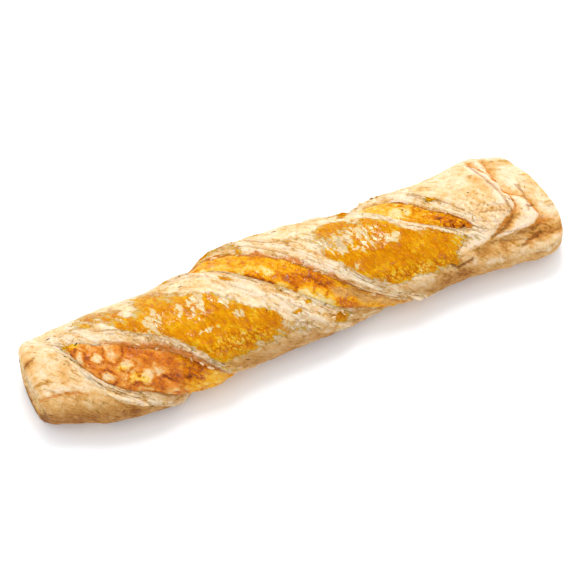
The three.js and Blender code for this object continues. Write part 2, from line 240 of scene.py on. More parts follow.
def angleAt(x, strip):
    turned = fullTurn * strip / form["pitch"]
    wander = sum(reach * np.sin(x / length + turns * turned + start)
                 for reach, length, turns, start in form["wander"])
    return form["readAngle"] + fullTurn * (x - strip - wander) / form["pitch"]


# Heights over the floor, with the underside pressed flat on it
def settled(z):
    flat = form["flatDepth"]
    return np.where(z <= -flat, 0, np.where(z >= flat, z, (z + flat) ** 2 / (4 * flat)))


# The plain section: half width, height, how fast a place runs round it, and the outward direction
def section(x, angle):
    wide = curve(x, form["halfWidth"])
    sagging = smooth(np.cos(angle), -0.25, 0.25)
    tall = mixed(form["sagDepth"], curve(x, form["crownHeight"]), sagging)
    speed = np.hypot(tall * np.sin(angle), wide * np.cos(angle))
    return wide, tall, speed, -tall * np.sin(angle) / speed, wide * np.cos(angle) / speed


# Points off the plain section: level is outward, lean runs across the strip, and shrink draws them
# to the axis
def place(x, angle, level=0.0, lean=0.0, shrink=0.0, out=0.0):
    wide, tall, speed, normalY, normalZ = section(x, angle)
    level, lean = level * (1 - shrink), lean * (1 - shrink)
    helix = form["pitch"] / fullTurn
    leanAlong = lean * helix / np.hypot(helix, speed)
    leanRound = -lean * speed / np.hypot(helix, speed)
    y = curve(x, form["sideways"]) - wide * np.sin(angle) * (1 - shrink)
    y = y + level * normalY - leanRound * normalZ
    z = form["axisHeight"] + tall * np.cos(angle) * (1 - shrink)
    z = z + level * normalZ + leanRound * normalY
    leftPull = smooth(-x, *form["leftEnd"]) * curve(y, form["leftShort"])
    rightPull = smooth(x, *form["rightEnd"]) * curve(y, form["rightShort"])
    return np.stack([x + out + leanAlong + leftPull - rightPull, y, z], -1)


# Layers of the cut dough in the steep band, from the floor up to the skin: place and height
layerSteps = [(-0.06, 0), (0.04, 0.33), (0.17, 0.37), (0.22, 0.46), (0.33, 0.5), (0.39, 0.64), (0.52, 0.67),
              (0.58, 0.76), (0.68, 0.79), (0.74, 0.88), (0.92, 0.91), (1.03, 1)]


def stepHeight(at, steps):
    height = np.full(np.shape(at), float(steps[0][1]))
    for (low, lowHeight), (high, highHeight) in zip(steps, steps[1:]):
        height = height + (highHeight - lowHeight) * smooth(at, low, high)
    return height


pastry = {
    "ringsAlong": 338,
    "leftLines": 24,
    "floorLines": 8,
    "rightLines": 36,
    "skinLines": (66, 60),
    "endRings": 9,
    "capRings": 11,
    "layerFold": 0.36,  # height of the long folds on the layered bands
    "shelf": 0.9,  # height between neighbouring flakes there
    "wrinkle": 0.4,
    "blister": 0.55,
    "bubble": 0.5,  # height of the thick-set bubbles in the worn glaze
    "cutDepth": 0.8,
    "endSheet": 2.3,  # thickness of the sheets that show on the end faces
    # Angles from the reading line, in degrees, over which the picture's paint fades out
    "farPaint": (-105, -78),
    "farDrips": (-128, -98),
    "nearPaint": (48, 70),
    # The same for the egg glaze, and for the painted shade on the near side
    "farGlaze": (-66, -40),
    "nearGlaze": (26, 46),
    "nearPaintedShade": (14, 58),
    # Where each glazed face starts and ends on the strip, and all of them along the twist
    "glazedFaces": [((-60, -56.5), (-26, -18)), ((23.5, 27.5), (59.5, 65))],
    "glazedLength": ((-100, -90), (78, 88)),
    "spilledFrom": (-64, -50),
    "spilledTo": (-24, 4),
    "grooveShadeFrom": (-98, -78),
}

# The layered bands: rows of height, place across the band and reach, as shares of the valley's depth
bands = {
    "rightRolls": [(0.14, 0.62, 0.22), (-0.1, 1.08, 0.08)],
    "leftRolls": [(0.1, 0.85, 0.22), (-0.04, 1.15, 0.08)],
    "lean": (0.32, 0.3, 0.28),
    "outer": (1.15, 0.22),
    # The brown slope under the right band, browned and painted with the band's shade: its width, and where
    # along the twist it is wider
    "slopeWidth": 0.3,
    "slopeWider": [(0.62, -60, 25), (0.3, 8, 18)],
}


# What the surface is like at a place on the strip: level and lean of the relief, and what lies there
def relief(x, strip):
    level, lean, skin = 0, 0, 1
    layered, groove, outer, spill = 0, 0, 0, 0
    laid = laidOut(x, strip)
    longFold = 0.5 - 2 * np.abs(grain(laid, 16, 1.7, 11))
    stray = grain(laid, 13, 9, 3, 2)
    crumpled = grain(laid, 4.2, 3.4, 15)
    first, second, third = laid
    _, shelf = cells((first / 9 + 0.5 * stray, second / 2.7 + 0.5 * crumpled, third / 2.7), 17)
    flaky = pastry["layerFold"] * longFold + pastry["shelf"] * (shelf - 0.5) + 0.3 * crumpled
    slope = bands["slopeWidth"] + bumps(x, bands["slopeWider"])
    leanShare, leanAt, leanReach = bands["lean"]
    for valley in valleys:
        depth = curve(x, valley["depth"])
        floor = np.maximum(curve(x, valley["floor"]), 0)
        across = aroundStrip(strip - curve(x, valley["centre"]))
        beyond = np.abs(across) - floor
        onRight = across > 0
        right = beyond / curve(x, valley["right"]) + 0.13 * stray
        left = beyond / curve(x, valley["left"]) + 0.1 * stray
        at = np.where(onRight, right, left)
        rising = np.where(onRight, stepHeight(right, layerSteps),
                          0.7 * smooth(left, -0.05, 1) + 0.3 * stepHeight(left, layerSteps))
        rolls = np.where(onRight, bumps(right, bands["rightRolls"]), bumps(left, bands["leftRolls"]))
        band = between(at, (-0.02, 0.12), (1.0, 1.3)) * smooth(depth, 0.2, 1.5)
        level = level - depth * (1 - rising) + depth * rolls + flaky * band
        lean = lean - np.where(onRight, depth * leanShare * bump(right, leanAt, leanReach), 0)
        overLip = (1 - smooth(left + 0.5 * crumpled, 0.05, 0.5)) * (1 - onRight)
        spill = np.maximum(spill, overLip * smooth(depth, 1, 3))
        onSlope = (1 - smooth(right + 0.2 * crumpled, 0.15, slope)) * onRight
        groove = np.maximum(groove, onSlope * smooth(depth, 0.5, 2.5))
        outer = np.maximum(outer, bump(at, *bands["outer"]) * smooth(depth, 0.2, 1.2))
        layered = np.maximum(layered, band)
        skin = skin * smooth(at, 0.2, 1.2)
    return {"level": level, "lean": lean, "skin": skin, "layered": layered, "groove": groove,
            "outer": outer, "spill": spill}


# The picture's plane, in millimetres: its middle, which way it runs along the twist and down across
# it, and what is added to a place in it
picture = {
    "middle": np.array([-0.32, -1.51, 14.15]),
    "along": np.array([0.9788, -0.0953, 0.1808]),
    "down": np.array([0.0, -0.8846, -0.466]),
    "offset": (0.29, 1.02),
}


def seenPlace(point):
    away = point - picture["middle"]
    alongOffset, downOffset = picture["offset"]
    return away @ picture["along"] + alongOffset, away @ picture["down"] + downOffset


# Soft ovals in the picture's plane: place along and down, half length, half width, turn in degrees
def patches(along, down, ovals, blur):
    most = np.zeros(np.shape(along))
    for atAlong, atDown, halfLength, halfWidth, turn in ovals:
        turned = math.radians(turn)
        first = (along - atAlong) * math.cos(turned) + (down - atDown) * math.sin(turned)
        second = (down - atDown) * math.cos(turned) - (along - atAlong) * math.sin(turned)
        reach = np.hypot(first / halfLength, second / halfWidth)
        most = np.maximum(most, 1 - smooth(reach, 1 - blur, 1 + blur))
    return most


# The ovals that a table holds under one name, as soft as its blur says
def painted(table, name, along, down):
    return patches(along, down, table[name], table["blur"][name])


# Soft lines in the picture's plane: half width, strength, and the places they pass
def strokes(along, down, drawn):
    most = np.zeros(np.shape(along))
    for halfWidth, strength, places in drawn:
        for (firstAlong, firstDown), (lastAlong, lastDown) in zip(places, places[1:]):
            runAlong, runDown = lastAlong - firstAlong, lastDown - firstDown
            share = (along - firstAlong) * runAlong + (down - firstDown) * runDown
            share = np.clip(share / (runAlong ** 2 + runDown ** 2), 0, 1)
            away = np.hypot(along - firstAlong - share * runAlong, down - firstDown - share * runDown)
            most = np.maximum(most, strength * (1 - smooth(away / halfWidth, 0.2, 1.4)))
    return most


# How far past a sheet's edge a place lies, square to the edge
def pastEdge(edge, along, across):
    slope = curve(across + 0.5, edge) - curve(across - 0.5, edge)
    return (along - curve(across, edge)) / np.hypot(1, slope)


# How far the surface drops past the folded sheets, and the painted shade in the creases along their edges
def foldSteps(x, y, angle):
    onTop = smooth(np.cos(angle), 0.2, 0.6)
    atLeft = smooth(-x, 92, 104)
    reach = folds["edgeRound"]
    ragged = folds["edgeWave"] * clouds((x / 4, y / 4, np.zeros_like(x)), 201)
    pastUpper = pastEdge(folds["upperEdge"], x, y) + ragged
    pastLower = pastEdge(folds["lowerEdge"], x, y) + ragged
    pastLeft = pastEdge(folds["leftEdge"], -y, -x) + ragged
    upper = smooth(pastUpper, -reach, reach)
    lower = smooth(pastLower, -reach, reach)
    left = smooth(pastLeft, -reach, reach) * atLeft
    drop = onTop * (folds["upperThick"] * upper + folds["lowerThick"] * lower * upper)
    drop = drop + folds["leftThick"] * left
    swell = onTop * (bump(pastUpper, -3.0, 2.2) + bump(pastLower, -2.5, 1.8) * upper)
    foldEdgeShade = onTop * (bump(pastUpper, 1.0, 0.9) + bump(pastLower, 1.0, 0.9) * upper)
    foldEdgeShade = np.maximum(foldEdgeShade * smooth(x, 80, 92), bump(pastLeft, 0.9, 0.8) * atLeft)
    return drop - folds["swell"] * swell * smooth(x, 84, 96), foldEdgeShade


# The grid blurred over so many steps each way, twice
def softened(grid, along, across):
    for _ in range(2):
        for axis, reach in ((0, along), (1, across)):
            steps = range(-reach, reach + 1)
            moved = [np.roll(grid, step, axis) for step in steps]
            for step, part in zip(steps, moved):
                if axis == 0 and step > 0:
                    part[:step] = grid[:1]
                elif axis == 0 and step < 0:
                    part[step:] = grid[-1:]
            grid = sum(moved) / len(moved)
    return grid


# Lines of the mesh across the strip for each ring
def stripLines(x):
    edges = []
    for valley in valleys:
        centre = curve(x, valley["centre"])
        floor = np.maximum(curve(x, valley["floor"]), 1.2)
        edges.append((centre - floor - curve(x, valley["left"]), centre - floor, centre + floor,
                      centre + floor + curve(x, valley["right"])))
    nextOuts = (edges[1][0], edges[0][0] + form["pitch"])
    lines = []
    for (leftOut, leftIn, rightIn, rightOut), nextOut, skinLines in zip(edges, nextOuts, pastry["skinLines"]):
        for low, high, count in ((leftOut, leftIn, pastry["leftLines"]),
                                 (leftIn, rightIn, pastry["floorLines"]),
                                 (rightIn, rightOut, pastry["rightLines"]),
                                 (rightOut, nextOut, skinLines)):
            lines.append(low[:, None] + (high - low)[:, None] * np.arange(count) / count)
    return np.concatenate(lines, 1)


# Rings along the twist, closer together toward the ends, and then the rings that close the ends:
# place, and how far each is set in, pushed out and shrunk
def ringPlan():
    endRound = form["endRound"]
    reach = form["length"] / 2 - endRound
    even = np.linspace(-1, 1, pastry["ringsAlong"])
    x = reach * (even * 0.86 + 0.14 * even ** 3)
    zeros = np.zeros_like(x)
    plan = [(x, zeros, zeros, zeros)]
    bends = np.linspace(0, math.pi / 2, pastry["endRings"] + 1)[1:]
    shrinks = np.linspace(0, 1, pastry["capRings"] + 1)[1:] ** 0.8 * 0.97
    flat = np.full(len(shrinks), endRound)
    for side in (-1, 1):
        rows = (np.full(len(bends) + len(shrinks), side * reach),
                np.concatenate([endRound * (1 - np.cos(bends)), flat]),
                side * np.concatenate([endRound * np.sin(bends), flat]),
                np.concatenate([np.zeros(len(bends)), shrinks]))
        plan = [tuple(row[::-1] for row in rows)] + plan if side < 0 else plan + [rows]
    return [np.concatenate(parts) for parts in zip(*plan)]


def meshFrom(name, points, edges, faces, values):
    mesh = bpy.data.meshes.new(name)
    mesh.from_pydata((points * mm).tolist(), edges, faces)
    for key, value in values.items():
        kind, field = ("FLOAT", "value") if value.ndim == 1 else ("FLOAT_VECTOR", "vector")
        data = mesh.attributes.new(key, kind, "POINT").data
        data.foreach_set(field, value.astype(np.float32).ravel())
    return mesh


def placed(name, mesh):
    made = bpy.data.objects.new(name, mesh)
    bpy.context.scene.collection.objects.link(made)
    return made


# Quads over a grid of rings, joined round each ring
def ringFaces(rings, lines):
    i, j = np.meshgrid(np.arange(rings - 1), np.arange(lines), indexing="ij")
    beside = (j + 1) % lines
    corners = [i * lines + j, i * lines + beside, (i + 1) * lines + beside, (i + 1) * lines + j]
    return np.stack(corners, -1).reshape(-1, 4)


# Where the skin is brushed with egg, worn thin with painted highlights, deep gold, bare or toasted, in the
# picture's plane
paint = {
    # How soft the edges are, from 0 for sharp to 1
    "blur": {"gold": 0.4, "drips": 0.5, "thin": 0.9, "worn": 0.6, "holes": 0.6, "lace": 0.5, "bare": 0.5,
             "toasted": 0.7, "tan": 0.7, "light": 0.7},
    "deepBlur": 0.8,
    "gold": [(-80, -18, 11, 2.6, 6), (-52, -14.5, 13, 4, 20), (24.5, -18.2, 7.5, 2.2, 6),
             (-31, 4, 17, 5.5, 12), (52, 3.5, 26, 8, 8), (-14, 8, 8, 5, 40), (-34, -3, 1.5, 6, 15),
             (-57, -1, 8, 2, 45), (-46, 8, 7, 2, 45), (-25, -23, 8, 2.2, 0)],
    "drips": [(-28, -24.4, 9, 2.6, 2), (-20, -25, 6, 1.6, 0), (-1.2, 8.8, 1.7, 1.1, 0),
              (5.6, 7.4, 1.5, 1.3, 0), (8.4, -8.4, 1.2, 2.2, 10), (-24, -15, 3, 1.2, 35),
              (16, 19, 4, 1.5, 10), (-70, -14.5, 8, 0.5, 38), (69.4, -14.4, 2.2, 0.8, 20),
              (33, -22, 3, 1.2, 0), (-91.5, -11.6, 5, 1.6, 12)],
    "thin": [(18, -15.5, 10, 3.6, 26), (-80, -18, 13, 4, 6), (-50, -15, 6, 2.6, 20), (-8, 14, 5, 3, 30),
             (26, -12, 5, 3, 20)],
    # Worn glaze, with its pale cells painted as highlights
    "worn": [(-38, -8.5, 6.5, 6.5, 10), (30, -12, 8, 4.2, 16), (-27.5, -7, 3.5, 7, -10),
             (-57, -8, 5.5, 5, 30), (-24, 1.5, 4, 2.5, 30), (36.5, -9.5, 12, 5.4, 8),
             (43, -6.5, 8, 3.6, 14), (26, -9, 5, 3.4, 10), (-37.5, 3.2, 4.5, 1.2, 0), (49, -5, 3, 2.4, 0),
             (-47, -9, 4, 3, -60), (18, -12, 5, 3, 0), (33, -14, 6, 2, 8), (30, 0.5, 1.6, 2.2, 40)],
    "holes": [(46.5, -10.5, 2, 2.4, 0), (32.8, -9, 1, 2, 10), (-34, -9, 1.2, 6, 12),
              (-44, -12, 1.6, 1.2, 0), (27, -4.5, 2, 1, 0), (54, -7, 1.4, 1.4, 0)],
    "lace": [(-27, 11.6, 15, 3.8, 3), (48, 10.5, 20, 2.4, 3)],
    "bare": [(10, -14, 9, 5, 25), (76, 13.5, 5.5, 4.5, 30), (52, 17.5, 18, 3.2, 3), (-20, 21, 22, 2.8, 0),
             (84, 13, 10, 7, 25), (-20, -12, 9, 1.8, 38)],
    "toasted": [(-27, -25, 9, 1.8, 0), (-116, -7, 1.8, 9, 5), (-112.5, -9, 2.4, 4, 20),
                (-112, -11, 3, 1.2, -30), (94, -1, 6, 1.1, 12), (98, 6.5, 5, 1.1, -30),
                (-63, 3.5, 8, 2.2, 42), (-74, -4.5, 6, 1.8, 38), (98.5, 0.6, 2.4, 1.4, 10),
                (108.5, 11, 1, 1.6, 0), (105, 17.6, 4, 1, -12), (69, -14.6, 2.6, 0.9, 20),
                (8.5, -7.5, 2, 3, 20), (25, 9, 3, 2, 30), (110, 2, 1, 2, -40),
                (-101.5, -10.5, 2, 1.2, 0)],
    "tan": [(-97, 16, 18, 7, 15), (-84, 21, 14, 4, 10), (-103, 1.5, 9, 2.4, 15), (78, 21, 14, 2, 5),
            (95, 19, 12, 2, 5), (-105, 3, 7, 3, 12), (110, -9, 3.5, 9, -8), (92, 2, 8, 5, 10),
            (-110, 4, 5, 3, 0), (-101, -3, 4, 7, -30), (91, -10, 7, 6, 20), (-70, 4, 10, 1.5, 40),
            (-40, 20, 14, 2.4, 0), (30, 22, 14, 2.4, 0), (112, 16, 3, 5, 0), (66, -20, 4, 2, 20),
            (-112, 2, 2, 8, 10)],
    # Paler patches, among them painted light on the right end where it turns from the lamp
    "light": [(52, -20.5, 15, 2.6, 3), (44, -17, 8, 2, 25), (105, -14, 6, 10, 0), (104, 2, 3.5, 6, 0),
              (-104, -7, 7, 5, 0), (-77, 17, 9, 2, 45), (-10, 8, 14, 4, 40), (-22, -9, 9, 2.4, 35),
              (20, -2, 16, 2.4, 38), (2, -14, 14, 2.4, 30), (52, -8, 16, 2, 25)],
    # Creases and cracks, cut in and painted darker with their shade: half width, strength, places
    "creases": [
        (0.48, 0.45, [(79.4, -3.4), (86.6, -3.4), (93, -1.7), (99.7, 0.8)]),
        (0.48, 0.5, [(86.6, -5), (93, -3), (98.9, -0.6)]),
        (0.41, 0.35, [(81.1, 0), (86.6, 0.8), (93, 1.7), (99.3, 1.7)]),
        (0.41, 0.4, [(82.8, 3.4), (87.9, 4.2), (93.8, 3.4), (98.9, 2.1)]),
        (0.41, 0.35, [(83.7, 5.9), (88.7, 7.2), (93.8, 5.1)]),
        (0.41, 0.2, [(81, -12), (85, -12.6), (89, -11.4), (94, -9.4)]),
        (0.54, 0.6, [(90.9, 8.9), (95, 10.6), (101.4, 11.8), (107.8, 13.5), (109.9, 12.7)]),
        (0.45, 0.5, [(90.9, 13.9), (96.4, 16), (101, 17.4)]),
        (0.54, 0.7, [(93, 9.3), (97.2, 7.2), (100.6, 4.2)]),
        (0.48, 0.4, [(108.2, -11.8), (108.2, -6.3), (109.9, -2)]),
        (0.48, 0.4, [(67.6, 14), (71.8, 10.6), (76, 6.8)]),
        (0.48, 0.35, [(94, -18.8), (97, -11.3), (99, -3.3), (100, 2.2)]),
        (0.82, 0.6, [(89.5, -22.3), (93.5, -15.3), (96.5, -9.3), (98.6, -2.3), (100, 2.2)]),
        (0.54, 0.7, [(86, -2), (93, -0.5), (99.5, 2.5)]),
        (0.48, 0.4, [(83, 0), (90, 4), (96, 6)]),
        (0.48, 0.4, [(82, 2.5), (87, 6), (93, 8.5)]),
        (0.54, 0.8, [(88, 10.2), (92.5, 9.4), (96, 6.8), (99.5, 4.4)]),
        (0.61, 0.7, [(106.5, -10), (108.5, -5), (108.2, 0), (106.8, 4)]),
        (0.54, 0.9, [(106.8, 4), (110, 1.8)]),
        (0.61, 0.6, [(99, 13.6), (104, 13.9), (109, 12.6), (112, 9)]),
        (0.6, 1.0, [(98.6, 18.8), (103, 18.2), (107.6, 16.2)]),
        (0.68, 0.9, [(67.6, 14.8), (69.6, 17), (73, 16.4), (77, 15.6)]),
        (0.54, 0.4, [(67, 15), (69, 19.6), (74, 20.6)]),
        (0.55, 0.9, [(-113.5, -9.6), (-111, -11.4), (-108.6, -12.4)]),
        (1.2, 1.0, [(-116.4, -16), (-118.4, -10), (-119.4, -2)]),
        (0.9, 0.7, [(-114.6, -13), (-115.4, -8)]),
        (0.45, 0.5, [(-99, 9), (-97.4, 11.4), (-99.2, 14.4)]),
        (0.45, 0.6, [(-112.4, 11.6), (-110, 12.2), (-108, 13.4)]),
        (0.4, 0.3, [(-104, 5.4), (-101, 8.4), (-100.5, 12)]),
        (0.54, 0.5, [(-110.4, -11), (-112, -4), (-113.6, 2), (-115.4, 8)]),
        (0.54, 0.6, [(-117, 7.5), (-114.5, 10.5)]),
        (0.61, 0.6, [(-114, 11.6), (-109.5, 13.4)]),
        (0.61, 0.22, [(-113, 2.5), (-105, 4), (-100, 6.5), (-95.5, 8.6)]),
        (0.48, 0.5, [(-79, 22), (-75, 21)]),
    ],
}


# What moves the grid's box to the middle and onto the base of the CAD node's
def boxShift(grid):
    low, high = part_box("pastry")
    middle = [(low[n] + high[n]) / 2 / mm - (grid[..., n].min() + grid[..., n].max()) / 2 for n in range(2)]
    return np.array(middle + [low[2] / mm - grid[..., 2].min()])


# 1 where the picture's paint lies on the upper side, 0 past its far and near edge
def painting(facing, far):
    return between(facing, np.radians(far), np.radians(pastry["nearPaint"]))


# How thick the egg lies: on the skin between the valleys and under the painted strokes, and less where
# the dough lies bare
def glazeCover(x, facing, along, down, laid, ground):
    onTop = painting(facing, pastry["farPaint"])
    edge = 2.6 * grain(laid, 7, 4, 61)
    onStrip = x - facing * form["pitch"] / fullTurn + edge
    window = smooth(facing + 0.08 * edge, *np.radians(pastry["farGlaze"]))
    window = window * (1 - smooth(facing + 0.1 * edge, *np.radians(pastry["nearGlaze"])))
    faces = np.maximum(*[between(onStrip, *face) for face in pastry["glazedFaces"]])
    glaze = faces * window * between(x + edge, *pastry["glazedLength"])
    glaze = np.maximum(glaze, painted(paint, "gold", along, down) * onTop)
    glaze = glaze * (1 - painted(paint, "bare", along, down) * onTop)
    glaze = glaze * (1 - 0.55 * painted(paint, "thin", along, down) * onTop)
    glaze = glaze * (1 - 0.8 * ground["layered"] * (1 - ground["outer"]))
    spilled = smooth(x, *pastry["spilledFrom"]) * (1 - smooth(x, *pastry["spilledTo"]))
    glaze = np.maximum(glaze, 0.6 * ground["spill"] * spilled * window)
    drips = painted(paint, "drips", along + 0.8 * edge, down + 0.5 * edge)
    return np.maximum(glaze, drips * painting(facing, pastry["farDrips"]))


# The end faces, where the sheets lie across from one valley to the other: places laid out flat, 1 on
# each sheet and 0 between two, where the faces are, and how far they stand out
def endSheets(x, angle, laid, shrink, out):
    firstTurn, lastTurn = [angleAt(x, curve(x, valley["centre"])) for valley in valleys]
    sheetTurn = firstTurn + (lastTurn - firstTurn) / 2
    face = place(x, angle, shrink=shrink)
    over = face[..., 2] - form["axisHeight"]
    offAxis = face[..., 1] * -np.sin(sheetTurn) + over * np.cos(sheetTurn)
    inSheet = face[..., 1] * np.cos(sheetTurn) + over * np.sin(sheetTurn)
    onFace = (inSheet, offAxis * 2, face[..., 0])
    laid = [np.where(shrink > 0.1, *pair) for pair in zip(onFace, laid)]
    rolled = offAxis + 1.5 * clouds([part / 9 for part in np.moveaxis(face, -1, 0)], 71, 2)
    rolled = rolled / pastry["endSheet"]
    sheets = 1 - np.abs(2 * (rolled - np.floor(rolled)) - 1)
    endFace = smooth(shrink, 0.08, 0.3)
    standing = 1.1 * (1 - sheets) + 1.2 * smooth(shrink, 0.1, 0.9)
    return laid, sheets, endFace, -np.sign(out) * endFace * standing


# How toasted each place is: on raised and turned parts, at the ends and where the picture shows it
def toasting(x, angle, laid, shrink, out, endFace, sheets, tanned):
    under = 1 - smooth(np.cos(angle), -0.75, 0.05)
    rim = bump(np.abs(out), 2.6, 1.3) * (shrink < 0.05)
    toast = 0.5 * under * (1 - 0.85 * endFace) + 0.25 * rim * smooth(-x, 60, 110) + 0.15 * rim
    toast = toast + 0.18 * endFace * sheets + 0.12 * bump(shrink, 0.12, 0.07)
    return np.clip(toast + 0.25 * grain(laid, 15, 12, 81), 0, 1) + 0.9 * tanned


# The crust as a grid of rings along the twist and lines across the strip
def buildPastry():
    x, inset, out, shrink = ringPlan()
    strip = stripLines(x)
    rings, lines = strip.shape
    x = np.repeat(x[:, None], lines, 1)
    inset, out, shrink = inset[:, None], out[:, None], shrink[:, None]
    angle = angleAt(x, strip)
    ground = relief(x, strip)
    laid = laidOut(x, strip)
    skin = ground["skin"]
    plain = place(x, angle)
    formed = place(x, angle, ground["level"], ground["lean"], shrink, out)
    formed[..., 2] = settled(formed[..., 2])
    along, down = seenPlace(plain + boxShift(formed))
    # From the far side, through 0 on the reading line, to the near side
    facing = (angle - form["readAngle"] + math.pi) % fullTurn - math.pi
    onTop = painting(facing, pastry["farPaint"])
    # Relief of the skin: broad swellings, blisters and fine wrinkles
    swell = grain(laid, 13, 10, 5, 2)
    blisters, own = domes(laid, 5.2, 4.2, 21, 0.66)
    blisters = blisters * (own > 0.4)
    rough = grain(laid, 3.4, 2.8, 33, 4, 0.62) * 1.6
    wrinkles = grain(laid, 6.5, 1.7, 41)
    worn = painted(paint, "worn", along, down) * (1 - painted(paint, "holes", along, down)) * onTop
    lace = painted(paint, "lace", along, down) * onTop
    glaze = glazeCover(x, facing, along, down, laid, ground)
    level = ground["level"] + skin * (0.4 * swell + pastry["blister"] * blisters * (0.35 + 0.65 * glaze))
    level = level + skin * rough * (0.1 + pastry["bubble"] * np.maximum(worn, 0.7 * lace) + 0.14 * glaze)
    level = level + pastry["wrinkle"] * wrinkles * (0.4 + 0.6 * (1 - glaze)) * (0.45 + 0.55 * skin)
    # Creases, and what the picture shows toasted, on all but the underside
    drop, foldEdgeShade = foldSteps(plain[..., 0], plain[..., 1], angle)
    seen = np.cos(angle) > -0.35
    wavy = 0.5 * grain(laid, 3, 3, 51, 2)
    cut = strokes(along + wavy, down + wavy, paint["creases"]) * seen
    waved = (along + 1.4 * wavy, down - 1.4 * wavy)
    tanned = 0.75 * painted(paint, "toasted", *waved) + 0.42 * painted(paint, "tan", *waved)
    # The light patches take away toast, painted light where the right end turns from the lamp
    tanned = (tanned - 0.35 * painted(paint, "light", *waved)) * seen
    level = level - drop - inset - pastry["cutDepth"] * cut
    laid, sheets, endFace, endOut = endSheets(x, angle, laid, shrink, out)
    point = place(x, angle, level, ground["lean"], shrink, out + endOut)
    point[..., 2] = settled(point[..., 2])
    # Toast from the oven, painted shade in the hollows of the folds and painted light on their ridges
    broad = ground["level"] + skin * 0.35 * swell - drop
    raised = np.clip((broad - softened(broad, 4, 5)) / 0.7, -1, 1) * (1 - endFace)
    toast = toasting(x, angle, laid, shrink, out, endFace, sheets, tanned)
    # Painted shade on the near side, and a little on the far side below the paint
    paintedNearShade = smooth(facing, *np.radians(pastry["nearPaintedShade"])) + 0.15 * (1 - onTop) * (facing < 0)
    paintedNearShade = paintedNearShade * (1 - 0.4 * smooth(x, 62, 82)) * (1 - 0.8 * endFace)
    laid = np.stack(laid, -1)
    values = {
        "glaze": glaze, "worn": worn, "lace": lace, "layered": ground["layered"],
        "deep": patches(along, down, paint["gold"], paint["deepBlur"]) * onTop,
        "groove": np.maximum(ground["groove"] * smooth(x, *pastry["grooveShadeFrom"]), 0.7 * foldEdgeShade),
        "raised": raised, "toast": toast, "rough": rough * skin, "crack": cut,
        # side carries the painted shade of the near side, less on the layered bands
        "side": np.clip(paintedNearShade, 0, 1) * (1 - 0.5 * ground["layered"]),
    }
    flat = {key: value.reshape(-1) for key, value in values.items()}
    flat["laid"] = laid.reshape(-1, 3)
    # A pole closes each end face
    for key, value in flat.items():
        flat[key] = np.concatenate([value, [value[:lines].mean(0), value[-lines:].mean(0)]])
    shift = boxShift(point)
    points = np.concatenate([point.reshape(-1, 3), [point[0].mean(0), point[-1].mean(0)]]) + shift
    line = np.arange(lines)
    beside = (line + 1) % lines
    firstPole, lastPole, lastRing = rings * lines, rings * lines + 1, (rings - 1) * lines
    caps = np.concatenate([np.stack([np.full(lines, firstPole), beside, line], -1),
                           np.stack([np.full(lines, lastPole), lastRing + line, lastRing + beside], -1)])
    faces = ringFaces(rings, lines).tolist() + caps.tolist()
    grid = {"point": point + shift, "layered": ground["layered"], "laid": laid,
            "lying": np.cos(angle) > -0.1}
    return {"points": points, "faces": faces, "values": flat, "shift": shift, "grid": grid}


# A socket of a node tree that can stand in a sum
class Wire:
    def __init__(self, graph, socket):
        self.graph = graph
        self.socket = socket

    def joined(self, operation, first, second):
        types = [part.socket.type if isinstance(part, Wire) else type(part) for part in (first, second)]
        vector = any(kind in (tuple, "VECTOR", "RGBA") for kind in types)
        kind = "ShaderNodeVectorMath" if vector else "ShaderNodeMath"
        return self.graph.node(kind, {"operation": operation}, {0: first, 1: second})

    def __add__(self, other):
        return self.joined("ADD", self, other)

    def __radd__(self, other):
        return self.joined("ADD", other, self)

    def __sub__(self, other):
        return self.joined("SUBTRACT", self, other)

    def __rsub__(self, other):
        return self.joined("SUBTRACT", other, self)

    def __mul__(self, other):
        return self.joined("MULTIPLY", self, other)

    def __rmul__(self, other):
        return self.joined("MULTIPLY", other, self)


